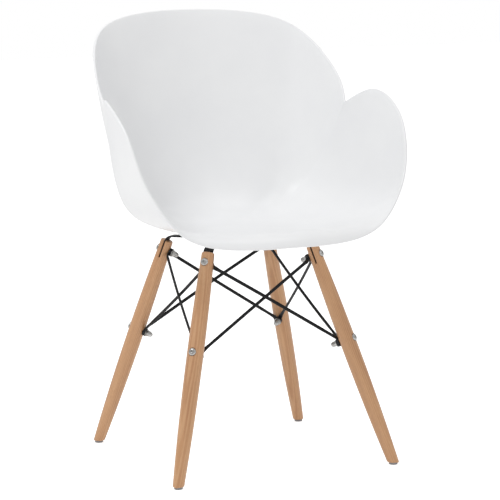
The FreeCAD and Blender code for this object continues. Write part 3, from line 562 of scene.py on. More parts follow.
def make_figure() -> Effect:
    """Straight-grained hardwood: broad tone, growth lines and short flecks along local Z.

    Returns:
        The effect, with a Tone, Lines and Flecks mask.
    """
    effect = Effect("wood_figure", {"Place": None}, ("Tone", "Lines", "Flecks"))
    wiring = effect.wiring
    place = effect.entry.outputs["Place"]

    def stretched(across: float, along: float) -> bpy.types.NodeSocket:
        """Place vector squeezed along the grain, so a pattern draws out lengthwise."""
        node = wiring.add("ShaderNodeMapping", {
            "Vector": place, "Scale": (1 / across, 1 / across, 1 / along)})
        return node.outputs["Vector"]

    broad = wiring.add("ShaderNodeTexNoise", {"Vector": stretched(0.012, 0.16), "Scale": 1.0, "Detail": 3.0})
    bend = wiring.add("ShaderNodeTexNoise", {"Vector": stretched(0.03, 0.4), "Scale": 1.0, "Detail": 2.0})
    shift = wiring.add("ShaderNodeVectorMath", operation="MULTIPLY_ADD")
    wiring.feed(shift.inputs[0], bend.outputs["Color"])
    shift.inputs[1].default_value = (2.2, 2.2, 0.0)
    wiring.feed(shift.inputs[2], stretched(0.005, 0.5))
    lines = wiring.add("ShaderNodeTexWave", {
        "Vector": shift.outputs["Vector"], "Scale": 0.55, "Distortion": 2.2, "Detail": 3.0,
        "Detail Scale": 1.4},
        wave_type="BANDS", bands_direction="X", wave_profile="SIN")
    fleck = wiring.add("ShaderNodeTexNoise", {
        "Vector": stretched(0.0007, 0.009), "Scale": 1.0, "Detail": 2.0, "Roughness": 0.6})
    wiring.feed(effect.exit.inputs["Tone"], wiring.ramp(broad.outputs["Fac"], 0.3, 0.7))
    wiring.feed(effect.exit.inputs["Lines"], lines.outputs["Fac"])
    wiring.feed(effect.exit.inputs["Flecks"], wiring.ramp(fleck.outputs["Fac"], 0.56, 0.70))
    return effect


@dataclass(frozen=True)
class Effects:
    """The shared effects, built once."""

    drift: Effect = field(default_factory=make_drift)
    grit: Effect = field(default_factory=make_grit)
    rub: Effect = field(default_factory=make_rub)
    figure: Effect = field(default_factory=make_figure)

    def clouds(self, skin: "Surface", size: float) -> bpy.types.NodeSocket:
        """Place slow drift on a surface.

        Args:
            skin: The surface.
            size: Size of the clouds in metres.

        Returns:
            The drift's mask.
        """
        node = self.drift.place(skin.wiring, {"Place": skin.place, "Size": size})
        return node.outputs["Mask"]

    def grain(self, skin: "Surface", size: float, waviness: float = 0.3) -> bpy.types.NodeSocket:
        """Place fine grit on a surface.

        Args:
            skin: The surface.
            size: Size of the grains in metres.
            waviness: How much slower swell there is under them.

        Returns:
            The grit's height.
        """
        node = self.grit.place(skin.wiring, {"Place": skin.place, "Size": size, "Waviness": waviness})
        return node.outputs["Height"]


# ---------------------------------------------------------------------------------------------
# Finishes
# ---------------------------------------------------------------------------------------------

class Surface:
    """A material under way: one Principled shader, fed from the object's own coordinates."""

    def __init__(self, name: str) -> None:
        """Start the material.

        Args:
            name: Name of the finish.
        """
        self.material = bpy.data.materials.new(name)
        self.material.use_nodes = True
        self.wiring = Wiring(self.material.node_tree)
        self.shader = self.material.node_tree.nodes["Principled BSDF"]
        self.place = self.wiring.add("ShaderNodeTexCoord").outputs["Object"]

    def feed(self, channel: str, value: object) -> None:
        """Set one of the shader's channels, or join it to an output."""
        self.wiring.feed(self.shader.inputs[channel], value)

    def paint(self, share: bpy.types.NodeSocket, first: object, second: object) -> None:
        """Colour the surface with a mix of two colours.

        Args:
            share: How much of the second.
            first: A colour or a socket.
            second: A colour or a socket.
        """
        self.feed("Base Color", self.wiring.blend(share, first, second))

    def vary_gloss(self, mask: bpy.types.NodeSocket, low: float, high: float) -> None:
        """Let the roughness wander between two values.

        Args:
            mask: What it follows, from 0 to 1.
            low: Roughness at 0.
            high: Roughness at 1.
        """
        self.feed("Roughness", self.wiring.ramp(mask, 0.0, 1.0, low, high))

    def raise_relief(self, height: bpy.types.NodeSocket, strength: float, distance: float) -> None:
        """Give the surface a fine relief.

        Args:
            height: What it follows.
            strength: How strongly it shows.
            distance: Its depth in metres.
        """
        bump = self.wiring.add("ShaderNodeBump", {
            "Strength": strength, "Distance": distance, "Height": height})
        self.feed("Normal", bump.outputs["Normal"])


@dataclass(frozen=True)
class MouldedPlastic:
    """Satin injection-moulded plastic with a fine eroded grain."""

    name: str
    colour: Colour
    shade: Colour
    roughness: float = 0.42
    grain: float = 0.0009
    relief: float = 0.08
    drift: float = 0.12

    def build(self, effects: Effects) -> bpy.types.Material:
        """Make the material.

        Args:
            effects: The shared effects.

        Returns:
            The finished material.
        """
        skin = Surface(self.name)
        skin.paint(effects.clouds(skin, self.drift), self.colour, self.shade)
        skin.vary_gloss(effects.clouds(skin, self.drift / 5), self.roughness - 0.03, self.roughness + 0.04)
        skin.raise_relief(effects.grain(skin, self.grain), self.relief, 0.0003)
        return skin.material


@dataclass(frozen=True)
class LacqueredBeech:
    """Clear-lacquered beech whose grain runs up the leg."""

    name: str
    light: Colour = (0.58, 0.318, 0.156, 1.0)
    dark: Colour = (0.46, 0.228, 0.106, 1.0)
    streak: Colour = (0.66, 0.395, 0.21, 1.0)
    fleck: Colour = (0.34, 0.160, 0.074, 1.0)
    streak_share: float = 0.55
    fleck_share: float = 0.45
    roughness: float = 0.40

    def build(self, effects: Effects, leg: Matrix) -> bpy.types.Material:
        """Make the material for one leg.

        Args:
            effects: The shared effects.
            leg: The leg's own frame, whose Z the grain follows.

        Returns:
            The finished material.
        """
        skin = Surface(self.name)
        wiring = skin.wiring
        turn = wiring.add("ShaderNodeMapping", {
            "Vector": skin.place, "Location": leg.to_translation(), "Rotation": leg.to_euler()},
            vector_type="TEXTURE")
        skin.place = turn.outputs["Vector"]
        figure = effects.figure.place(wiring, {"Place": skin.place})
        lines, flecks = figure.outputs["Lines"], figure.outputs["Flecks"]
        base = wiring.blend(figure.outputs["Tone"], self.dark, self.light)
        lined = wiring.blend(wiring.ramp(lines, 0.35, 1.0, 0.0, self.streak_share), base, self.streak)
        skin.paint(wiring.combine("MULTIPLY", flecks, self.fleck_share), lined, self.fleck)
        skin.vary_gloss(effects.clouds(skin, 0.02), self.roughness - 0.05, self.roughness + 0.06)
        height = wiring.combine("SUBTRACT", wiring.combine("MULTIPLY", lines, 0.5), flecks)
        skin.raise_relief(height, 0.15, 0.0002)
        skin.feed("Coat Weight", 0.25)
        skin.feed("Coat Roughness", 0.3)
        return skin.material


@dataclass(frozen=True)
class PowderCoat:
    """Satin powder coat on steel, rubbed a little on its edges."""

    name: str
    colour: Colour = (0.008, 0.0085, 0.0095, 1.0)
    worn: Colour = (0.05, 0.05, 0.052, 1.0)
    gloss: float = 0.2
    roughness: float = 0.42

    def build(self, effects: Effects) -> bpy.types.Material:
        """Make the material.

        Args:
            effects: The shared effects.

        Returns:
            The finished material.
        """
        skin = Surface(self.name)
        rub = effects.rub.place(skin.wiring, {"Place": skin.place})
        skin.paint(rub.outputs["Mask"], self.colour, self.worn)
        skin.vary_gloss(effects.clouds(skin, 0.012), self.roughness - 0.05, self.roughness + 0.08)
        skin.feed("Specular IOR Level", self.gloss)
        skin.raise_relief(effects.grain(skin, 0.0006, 1.2), 0.2, 0.0003)
        return skin.material


@dataclass(frozen=True)
class BareMetal:
    """Plated or plain metal with small tarnish clouds and fine scratches."""

    name: str
    colour: Colour
    tarnish: Colour
    roughness: float

    def build(self, effects: Effects) -> bpy.types.Material:
        """Make the material.

        Args:
            effects: The shared effects.

        Returns:
            The finished material.
        """
        skin = Surface(self.name)
        clouds = effects.clouds(skin, 0.006)
        skin.paint(clouds, self.colour, self.tarnish)
        skin.vary_gloss(clouds, self.roughness, self.roughness + 0.14)
        skin.raise_relief(effects.grain(skin, 0.0004), 0.12, 0.0002)
        skin.feed("Metallic", 1.0)
        return skin.material


# ---------------------------------------------------------------------------------------------
# Tub seat
# ---------------------------------------------------------------------------------------------

@dataclass(frozen=True)
class Rib:
    """A curve from the flat hub out to the rim, as shares of the shell's half sizes and rise."""

    rise: float
    floor: tuple[float, float]
    wall: tuple[float, float, float]
    rim: tuple[float, float, float]


@dataclass(frozen=True)
class Column:
    """A rib at one place round the rim, and how fast it moves towards the next."""

    points: tuple[Vector, ...]
    moves: tuple[Vector, ...]


BACK_RISE = 0.396
ARM_RISE = 0.245
NOTCH_RISE = 0.218


def tub_ribs() -> dict[str, Rib]:
    """The nine named ribs of half the tub.

    Returns:
        Each rib by its name.
    """
    return {
        "crown": Rib(BACK_RISE, (0.000, 0.680), (0.000, 0.800, 0.383), (0.000, 1.000, 1.000)),
        "shoulder": Rib(BACK_RISE, (0.275, 0.676), (0.625, 0.622, 0.370), (0.705, 0.764, 0.925)),
        "side": Rib(BACK_RISE, (0.485, 0.680), (0.775, 0.465, 0.297), (0.895, 0.288, 0.666)),
        "notch": Rib(NOTCH_RISE, (0.600, 0.595), (0.810, 0.380, 0.447), (0.876, 0.144, 1.000)),
        "crest": Rib(ARM_RISE, (0.880, 0.204), (0.872, -0.012, 0.322), (0.980, -0.120, 1.000)),
        "nose": Rib(ARM_RISE, (0.905, -0.215), (0.975, -0.350, 0.260), (0.992, -0.560, 0.808)),
        "knee": Rib(ARM_RISE, (0.700, -0.440), (0.890, -0.665, 0.135), (0.902, -0.780, 0.365)),
        "corner": Rib(ARM_RISE, (0.475, -0.670), (0.655, -0.795, 0.100), (0.685, -0.866, 0.045)),
        "lip": Rib(ARM_RISE, (0.000, -0.740), (0.000, -0.952, 0.096), (0.000, -1.000, -0.050)),
    }


def weighted(vectors: Sequence[Vector], weights: Sequence[float]) -> Vector:
    """Add up vectors times weights.

    Args:
        vectors: The vectors.
        weights: One weight for each.

    Returns:
        Their weighted sum.
    """
    return sum((vector * weight for vector, weight in zip(vectors, weights)), Vector((0.0, 0.0, 0.0)))


def cubic(points: Sequence[Vector], t: float) -> Vector:
    """Point at t on the cubic curve of four control points."""
    return weighted(points, ((1 - t)**3, 3 * (1 - t)**2 * t, 3 * (1 - t) * t**2, t**3))


def cubic_run(points: Sequence[Vector], t: float) -> Vector:
    """Direction of travel at t on the cubic curve of four control points."""
    legs = [points[k + 1] - points[k] for k in range(3)]
    return weighted(legs, (3 * (1 - t)**2, 6 * (1 - t) * t, 3 * t**2))


@dataclass
class TubSeat:
    """The one-piece moulded tub: two petals that meet at the notches, and four bosses."""

    half_width: float = 0.275
    half_depth: float = 0.250
    seat_level: float = 0.4375
    wall: float = 0.005
    hub_radius: float = 0.070
    boss_reach: float = 0.052
    boss_top_radius: float = 0.015
    boss_end_radius: float = 0.012
    boss_end_level: float = 0.4170
    boss_rounding: float = 0.0008
    boss_drafted_share: float = 0.8
    boss_fillet_flare: float = 1.12
    screw_radius: float = 0.0032
    columns_per_span: int = 16
    rows: int = 40
    rim_rows: int = 10
    knot_power: float = 0.75
    seam: float = 2e-5
    ribs: dict[str, Rib] = field(default_factory=tub_ribs)

    def rib_points(self, name: str, side: int) -> tuple[Vector, ...]:
        """Control points of a rib: hub, floor, wall and rim.

        Args:
            name: The rib's name.
            side: 1 for the right half, -1 for the left.

        Returns:
            Four points.
        """
        rib = self.ribs[name]
        width = self.half_width * side
        floor = Vector((rib.floor[0] * width, rib.floor[1] * self.half_depth, 0.0))
        hub = floor.normalized() * self.hub_radius
        level = UP * self.seat_level
        upper = tuple(
            Vector((x * width, y * self.half_depth, z * rib.rise)) + level for x, y, z in (rib.wall, rib.rim))
        return (hub + level, floor + level, *upper)

    def petal_chain(self, petal: Petal) -> list[tuple[Vector, ...]]:
        """Ribs of a petal from notch to notch, with the other petal's next rib at both ends.

        Args:
            petal: Which petal.

        Returns:
            The control points of each rib in turn.
        """
        near = -1 if petal is Petal.BACK else 1
        other = Petal.FRONT if petal is Petal.BACK else Petal.BACK
        half = (other.value[1], *petal.value)
        ribs = [self.rib_points(name, near) for name in half]
        ribs += [self.rib_points(name, -near) for name in reversed(half[:-1])]
        return ribs

    def petal_columns(self, petal: Petal) -> list[Column]:
        """Closely spaced ribs of a petal, blended between the named ones.

        Args:
            petal: Which petal.

        Returns:
            The columns from notch to notch.
        """
        chain = self.petal_chain(petal)
        knots = [0.0]
        for rib, following in zip(chain, chain[1:]):
            knots.append(knots[-1] + ((following[3] - rib[3]).length * 1000) ** self.knot_power)
        slopes = self.rib_slopes(chain, knots)
        ribs, knots = chain[1:-1], knots[1:-1]
        columns = []
        for span in range(len(ribs) - 1):
            for step in range(self.columns_per_span):
                columns.append(self.blended(ribs, knots, slopes, span, step / self.columns_per_span))
        columns.append(self.blended(ribs, knots, slopes, len(ribs) - 2, 1.0))
        return columns

    def rib_slopes(self, chain: list[tuple[Vector, ...]], knots: list[float]) -> list[list[Vector]]:
        """How fast each control point moves from rib to rib.

        Hub and floor run smoothly across the notch into the other petal, while wall and rim end
        there free of bend, which leaves the crease.

        Args:
            chain: The ribs' control points, with one more rib past each notch.
            knots: The ribs' places round the petal.

        Returns:
            Four slopes for each rib between the first and the last.
        """
        slopes: list[list[Vector]] = []
        for i in range(1, len(chain) - 1):
            before, after = knots[i] - knots[i - 1], knots[i + 1] - knots[i]
            slopes.append([
                ((chain[i][k] - chain[i - 1][k]) * (after / before)
                 + (chain[i + 1][k] - chain[i][k]) * (before / after)) / (before + after) for k in range(4)])
        for end, inner, step in ((0, 1, 1), (-1, -2, -1)):
            notch = 1 if step > 0 else len(chain) - 2
            span = knots[notch + step] - knots[notch]
            for k in (2, 3):
                free = (chain[notch + step][k] - chain[notch][k]) * (1.5 / span)
                slopes[end][k] = free - slopes[inner][k] * 0.5
        return slopes

    def blended(self, ribs: list[tuple[Vector, ...]], knots: list[float], slopes: list[list[Vector]],
                span: int, s: float) -> Column:
        """Blend two neighbouring ribs.

        Args:
            ribs: The ribs' control points.
            knots: The ribs' places round the petal.
            slopes: The ribs' slopes.
            span: Which pair of ribs.
            s: How far from the first to the second, 0 to 1.

        Returns:
            The column there.
        """
        length = knots[span + 1] - knots[span]
        weights = (2 * s**3 - 3 * s**2 + 1, (s**3 - 2 * s**2 + s) * length,
                   3 * s**2 - 2 * s**3, (s**3 - s**2) * length)
        rates = ((6 * s**2 - 6 * s) / length, 3 * s**2 - 4 * s + 1,
                 (6 * s - 6 * s**2) / length, 3 * s**2 - 2 * s)
        terms = [(ribs[span][k], slopes[span][k], ribs[span + 1][k], slopes[span + 1][k]) for k in range(4)]
        return Column(tuple(weighted(term, weights) for term in terms),
                      tuple(weighted(term, rates) for term in terms))

    def upward(self, column: Column, t: float) -> Vector:
        """Unit normal of the middle surface on its inner side."""
        return cubic(column.moves, t).cross(cubic_run(column.points, t)).normalized()

    def section(self, column: Column, partner: Column | None) -> list[Vector]:
        """Points from the hub up the inner face, round the rim and down the outer face.

        Args:
            column: The column to cut through.
            partner: The other petal's column at a shared notch, whose normals are averaged in.

        Returns:
            The section's points in order.
        """
        half = self.wall / 2
        inner, outer = [], []
        normal = UP
        for row in range(self.rows + 1):
            t = row / self.rows
            normal = self.upward(column, t)
            if partner is not None:
                normal = (normal + self.upward(partner, t)).normalized()
            middle = cubic(column.points, t)
            inner.append(middle + normal * half)
            outer.append(middle - normal * half)
        tip, out = column.points[3], cubic_run(column.points, 1.0).normalized()
        turns = [math.pi * k / self.rim_rows for k in range(1, self.rim_rows)]
        rim = [tip + (normal * math.cos(turn) + out * math.sin(turn)) * half for turn in turns]
        return inner + rim + outer[::-1]

    def petal_sheet(self, petal: Petal, columns: list[Column], others: list[Column]) -> Workpiece:
        """Shape a flat grid into one petal's closed wall.

        Args:
            petal: Which petal.
            columns: Its columns.
            others: The other petal's columns, which meet these at both ends.

        Returns:
            The petal, open at the hub and at both notches.
        """
        partners = {0: others[-1], len(columns) - 1: others[0]}
        net = [self.section(column, partners.get(i)) for i, column in enumerate(columns)]
        rows = len(net[0])
        piece = Workpiece.sheet("tub_" + petal.name.lower(), len(columns) - 1, rows - 1)
        for vert in piece.thing.data.vertices:
            i = round((vert.co.x + 0.5) * (len(columns) - 1))
            j = round((vert.co.y + 0.5) * (rows - 1))
            vert.co = net[i][j]
        return piece

    def close_hub(self, piece: Workpiece) -> None:
        """Close both faces of the flat hub and inset them, so that its rim shades evenly.

        Args:
            piece: The joined petals.
        """
        reach = self.hub_radius + 1e-3
        for level in (self.seat_level + self.wall / 2, self.seat_level - self.wall / 2):
            with piece.edit():
                piece.pick(Element.EDGES, lambda middle, run, level=level: (
                    abs(middle.z - level) < TOUCH and abs(run.z) < 1e-3
                    and middle.xy.length < reach and abs(run.dot(middle.normalized())) < 0.3))
                bpy.ops.mesh.edge_face_add()
                piece.pick(Element.FACES, lambda middle, normal, level=level: (
                    abs(middle.z - level) < TOUCH and middle.xy.length < reach / 4))
                bpy.ops.mesh.inset(thickness=self.hub_radius / 8)

    def boss(self, bearing: float) -> Workpiece:
        """One drafted boss, hollow where its screw goes in.

        Args:
            bearing: Direction from the middle of the seat, in degrees.

        Returns:
            The boss.
        """
        turn = turned(bearing)
        end = turn @ Vector((self.boss_reach, 0.0, self.boss_end_level))
        piece = Workpiece.disc("boss", self.boss_end_radius, end)
        height = self.seat_level - self.boss_end_level
        drafted = self.boss_drafted_share
        with piece.edit():
            piece.pick(Element.FACES, lambda middle, normal: True)
            piece.grow(UP * height * drafted, 1 + drafted * (self.boss_top_radius / self.boss_end_radius - 1))
            piece.grow(UP * height * (1 - drafted), self.boss_fillet_flare)
            piece.pick(Element.EDGES, lambda middle, run: abs(middle.z - self.boss_end_level) < TOUCH)
            bpy.ops.mesh.bevel(offset=self.boss_rounding, segments=3)
            piece.pick(Element.FACES, lambda middle, normal: (
                abs(middle.z - self.boss_end_level) < TOUCH and abs(normal.z) > FACING))
            bpy.ops.mesh.inset(thickness=self.boss_end_radius - self.boss_rounding - self.screw_radius)
            piece.grow(UP * height / 2)
        piece.tidy()
        return piece

    def build(self, finish: bpy.types.Material) -> None:
        """Model the whole seat.

        Args:
            finish: Its plastic.
        """
        back, front = self.petal_columns(Petal.BACK), self.petal_columns(Petal.FRONT)
        seat = self.petal_sheet(Petal.BACK, back, front)
        seat.take_in([self.petal_sheet(Petal.FRONT, front, back)])
        seat.thing.name = "tub_seat"
        seat.tidy(self.seam)
        self.close_hub(seat)
        seat.tidy(self.seam)
        seat.take_in([self.boss(place.value) for place in LegPlace])
        seat.polish(40.0)
        seat.hand_over(finish, "shell_plastic", "seat_shell")


# ---------------------------------------------------------------------------------------------
# Base: frames shared by the legs, the cross, the bolts and the rods
# ---------------------------------------------------------------------------------------------

@dataclass(frozen=True)
class BaseLayout:
    """Sizes and frames that the pieces of the base share."""

    foot_radius: float = 0.304
    splay: float = 21.2
    leg_top_level: float = 0.404
    leg_belly_level: float = 0.225
    leg_top_radius: float = 0.0116
    leg_belly_radius: float = 0.01525
    leg_foot_radius: float = 0.0102
    bolt_levels: tuple[float, float] = (0.386, 0.230)
    face_depth: float = 0.0015
    stack_gap: float = 0.00005
    eye_radius: float = 0.0075
    eye_thickness: float = 0.003
    washer_thickness: float = 0.0012

    @property
    def lean(self) -> float:
        """Splay of the legs in radians."""
        return math.radians(self.splay)

    def along(self, level: float) -> float:
        """Distance up the leg axis at which it reaches a level."""
        return level / math.cos(self.lean)

    def leg_frame(self, place: LegPlace) -> Matrix:
        """Frame of a leg: origin where its axis meets the floor, Z up the axis, X outward.

        Args:
            place: Which leg.

        Returns:
            The frame.
        """
        turn = turned(place.value)
        foot = Matrix.Translation((self.foot_radius, 0.0, 0.0))
        return turn @ foot @ Matrix.Rotation(-self.lean, 4, "Y")

    def bolt_frame(self, place: LegPlace, level: Level) -> Matrix:
        """Frame of a bolt: origin on the leg axis, Z outward along the bolt.

        Args:
            place: Which leg.
            level: Which row of bolts.

        Returns:
            The frame.
        """
        rise = Matrix.Translation((0.0, 0.0, self.along(self.bolt_level(level))))
        return self.leg_frame(place) @ rise @ Matrix.Rotation(math.pi / 2, 4, "Y")

    def bolt_level(self, level: Level) -> float:
        """Height of a row of bolts."""
        return self.bolt_levels[0] if level is Level.UPPER else self.bolt_levels[1]

    def side_arc(self) -> tuple[float, float, float]:
        """The arc that the side of a leg follows, through its foot, belly and top.

        Returns:
            The centre's distance from the axis, its place up the axis, and the arc's radius.
        """
        low = Vector((self.leg_foot_radius, 0.0))
        belly = Vector((self.leg_belly_radius, self.along(self.leg_belly_level)))
        top = Vector((self.leg_top_radius, self.along(self.leg_top_level)))
        first, second = belly - low, top - belly
        middle, further = (low + belly) / 2, (belly + top) / 2
        turn = first.x * second.y - first.y * second.x
        reach = (further - middle).dot(second) / turn
        centre = middle + Vector((-first.y, first.x)) * reach
        return centre.x, centre.y, (centre - low).length

    def leg_radius(self, along: float) -> float:
        """Radius of a leg at a distance up its axis."""
        across, rise, radius = self.side_arc()
        return across + math.sqrt(radius**2 - (along - rise)**2)

    def head_seat(self, level: Level) -> float:
        """Where a bolt's head sits, outward from the leg axis."""
        return self.leg_radius(self.along(self.bolt_level(level))) - self.face_depth

    def eye_seat(self, level: Level) -> float:
        """Where the first rod eye sits, outward from the leg axis, so below zero."""
        middle = self.along(self.bolt_level(level))
        shifts = (-self.eye_radius, 0.0, self.eye_radius)
        thickest = max(self.leg_radius(middle + shift) for shift in shifts)
        return -thickest - self.stack_gap


# ---------------------------------------------------------------------------------------------
# Turned legs and glides
# ---------------------------------------------------------------------------------------------

@dataclass
class TurnedLeg:
    """A turned beech leg, cut level at the foot and slotted at the top, on its glide."""

    layout: BaseLayout
    place: LegPlace
    stations: int = 36
    sides: int = 72
    foot_spare: float = 0.012
    top_rounding: float = 0.0018
    foot_rounding: float = 0.0025
    slot_width: float = 0.0033
    slot_depth: float = 0.0345
    slot_reach: float = 0.03
    slot_overrun: float = 0.01
    spot_depth: float = 0.02
    glide_height: float = 0.004
    glide_radius: float = 0.008
    glide_bevel: float = 0.001
    glide_ring: float = 0.0025
    glide_recess: float = 0.0004
    glide_rounding: float = 0.00018
    head_radius: float = 0.0078

    def blank(self) -> Workpiece:
        """Draw the leg out of a disc, station by station up its axis.

        Returns:
            The blank in the leg's own frame.
        """
        low, high = -self.foot_spare, self.layout.along(self.layout.leg_top_level)
        step = (high - low) / self.stations
        radius = self.layout.leg_radius(low)
        piece = Workpiece.disc(f"leg_{self.place.label}_turned", radius, UP * low, self.sides)
        with piece.edit():
            piece.pick(Element.FACES, lambda middle, normal: True)
            for station in range(self.stations):
                following = self.layout.leg_radius(low + (station + 1) * step)
                piece.grow(UP * step, following / radius)
                radius = following
            piece.pick(Element.EDGES, lambda middle, run: abs(middle.z - high) < TOUCH and abs(run.z) < 1e-3)
            bpy.ops.mesh.bevel(offset=self.top_rounding, segments=5)
        piece.tidy()
        return piece

    def level_foot(self, piece: Workpiece) -> None:
        """Cut the foot parallel to the floor and round its edge.

        Args:
            piece: The leg in its own frame.
        """
        to_local = self.layout.leg_frame(self.place).inverted()
        sole = to_local @ Vector((0.0, 0.0, self.glide_height))
        down = to_local.to_3x3() @ -UP
        with piece.edit():
            bpy.ops.mesh.select_all(action="SELECT")
            bpy.ops.mesh.bisect(plane_co=sole, plane_no=down, use_fill=True, clear_outer=True)
            piece.pick(Element.EDGES, lambda middle, run: abs((middle - sole).dot(down)) < TOUCH)
            bpy.ops.mesh.bevel(offset=self.foot_rounding, segments=5)
        piece.tidy()

    def cutters(self) -> list[Workpiece]:
        """The slot for the tab and the flats under the bolt heads.

        Returns:
            Cutters in the leg's own frame.
        """
        top = self.layout.along(self.layout.leg_top_level)
        half = self.slot_width / 2
        found = [Workpiece.block("slot", Vector((-half, -self.slot_reach, top - self.slot_depth)),
                                 Vector((half, self.slot_reach, top + self.slot_overrun)))]
        for level in Level:
            rise = Matrix.Translation((0.0, 0.0, self.layout.along(self.layout.bolt_level(level))))
            spot = Workpiece.drum(
                "spot", self.head_radius, self.spot_depth, UP * self.layout.head_seat(level), sides=40)
            found.append(spot.settle(rise @ Matrix.Rotation(math.pi / 2, 4, "Y")))
        return found

    def glide(self) -> Workpiece:
        """The nylon glide under the foot.

        Returns:
            The glide, standing on the floor.
        """
        radius = self.layout.foot_radius - self.glide_height * math.tan(self.layout.lean)
        turn = turned(self.place.value)
        foot = turn @ Vector((radius, 0.0, 0.0))
        sole_radius = self.glide_radius - self.glide_bevel
        flare = self.glide_radius / sole_radius
        piece = Workpiece.drum(f"glide_{self.place.label}_moulded", sole_radius, self.glide_bevel, foot)
        with piece.edit():
            piece.pick(Element.FACES, lambda middle, normal: normal.z > FACING)
            bpy.ops.transform.resize(value=(flare, flare, 1.0))
            piece.grow(UP * (self.glide_height - self.glide_bevel))
            piece.pick(Element.FACES, lambda middle, normal: normal.z < -FACING)
            bpy.ops.mesh.inset(thickness=self.glide_ring)
            piece.grow(UP * self.glide_recess)
        piece.soften(self.glide_rounding)
        piece.polish()
        return piece

    def build(self, wood: bpy.types.Material, nylon: bpy.types.Material) -> None:
        """Model the leg and its glide.

        Args:
            wood: The leg's finish.
            nylon: The glide's finish.
        """
        leg = self.blank()
        self.level_foot(leg)
        for cutter in self.cutters():
            leg.carve(cutter)
        leg.settle(self.layout.leg_frame(self.place))
        leg.polish(30.0)
        leg.hand_over(wood, "leg_wood", f"leg_{self.place.label}")
        self.glide().hand_over(nylon, "glide_plastic", f"glide_{self.place.label}")


# ---------------------------------------------------------------------------------------------
# Flat-bar cross
# ---------------------------------------------------------------------------------------------

@dataclass
class FlatCross:
    """One long flat bar and two short ones welded to its sides, bent down into the legs."""

    layout: BaseLayout
    width: float = 0.019
    thickness: float = 0.003
    level: float = 0.4125
    bend_radius: float = 0.012
    slot_depth: float = 0.0345
    tab_end_gap: float = 0.001
    bend_steps: int = 10
    edge: float = 0.0005

    def bend_reach(self) -> float:
        """Length that each straight loses to the bend."""
        turn = math.pi / 2 - self.layout.lean
        return (self.bend_radius + self.thickness / 2) * math.tan(turn / 2)

    def corner(self) -> float:
        """Where the middle of the flat run would meet the leg axis, from the centre."""
        return self.layout.foot_radius - self.level * math.tan(self.layout.lean)

    def add_tab(self, piece: Workpiece, side: int) -> None:
        """Bend one end of a flat bar down and draw it out into its tab.

        Args:
            piece: The flat bar along X.
            side: 1 for the +X end, -1 for the -X end.
        """
        end = side * (self.corner() - self.bend_reach())
        turn = math.pi / 2 - self.layout.lean
        centre = Vector((end, 0.0, self.level - self.bend_radius - self.thickness / 2))
        bottom = self.layout.along(self.layout.leg_top_level) - self.slot_depth + self.tab_end_gap
        length = self.layout.along(self.level) - bottom - self.bend_reach()
        run = Vector((side * math.sin(self.layout.lean), 0.0, -math.cos(self.layout.lean)))
        with piece.edit():
            piece.pick(Element.FACES, lambda middle, normal: (
                abs(middle.x - end) < TOUCH and abs(normal.x) > FACING))
            bpy.ops.mesh.delete(type="ONLY_FACE")
            piece.pick(Element.EDGES, lambda middle, run: abs(middle.x - end) < TOUCH and abs(run.x) < 1e-3)
            bpy.ops.mesh.spin(steps=self.bend_steps, angle=-side * turn, center=centre, axis=(0.0, 1.0, 0.0))
            bpy.ops.mesh.extrude_region_move(TRANSFORM_OT_translate={"value": run * length})
            bpy.ops.mesh.edge_face_add()

    def bar(self, name: str, start: float, both: bool) -> Workpiece:
        """A flat bar along X with one or two tabs.

        Args:
            name: The piece's name.
            start: Where its plain end is, if it has one.
            both: Whether it has a tab at each end.

        Returns:
            The bar in its own frame.
        """
        reach = self.corner() - self.bend_reach()
        half, thick = self.width / 2, self.thickness / 2
        low = Vector((-reach if both else start, -half, self.level - thick))
        piece = Workpiece.block(name, low, Vector((reach, half, self.level + thick)))
        self.add_tab(piece, 1)
        if both:
            self.add_tab(piece, -1)
        piece.tidy()
        piece.soften(self.edge, 3, 60.0)
        piece.polish(30.0)
        return piece

    def build(self, coat: bpy.types.Material) -> None:
        """Model the three bars.

        Args:
            coat: Their finish.
        """
        long_bar = self.bar("cross_long_bar", 0.0, True)
        long_bar.settle(turned(LegPlace.FRONT_RIGHT.value))
        long_bar.hand_over(coat, "black_steel", "cross_bar_long")
        for place in (LegPlace.BACK_RIGHT, LegPlace.FRONT_LEFT):
            arm = self.bar(f"cross_short_bar_{place.label}", self.width / 2, False)
            arm.settle(turned(place.value))
            arm.hand_over(coat, "black_steel", f"cross_arm_{place.label}")


# ---------------------------------------------------------------------------------------------
# Bolts and cap nuts
# ---------------------------------------------------------------------------------------------

def hexagon_radius(width: float) -> float:
    """Distance from the middle of a hexagon to its corners, from its width across flats."""
    return width / 2 / math.cos(math.pi / 6)


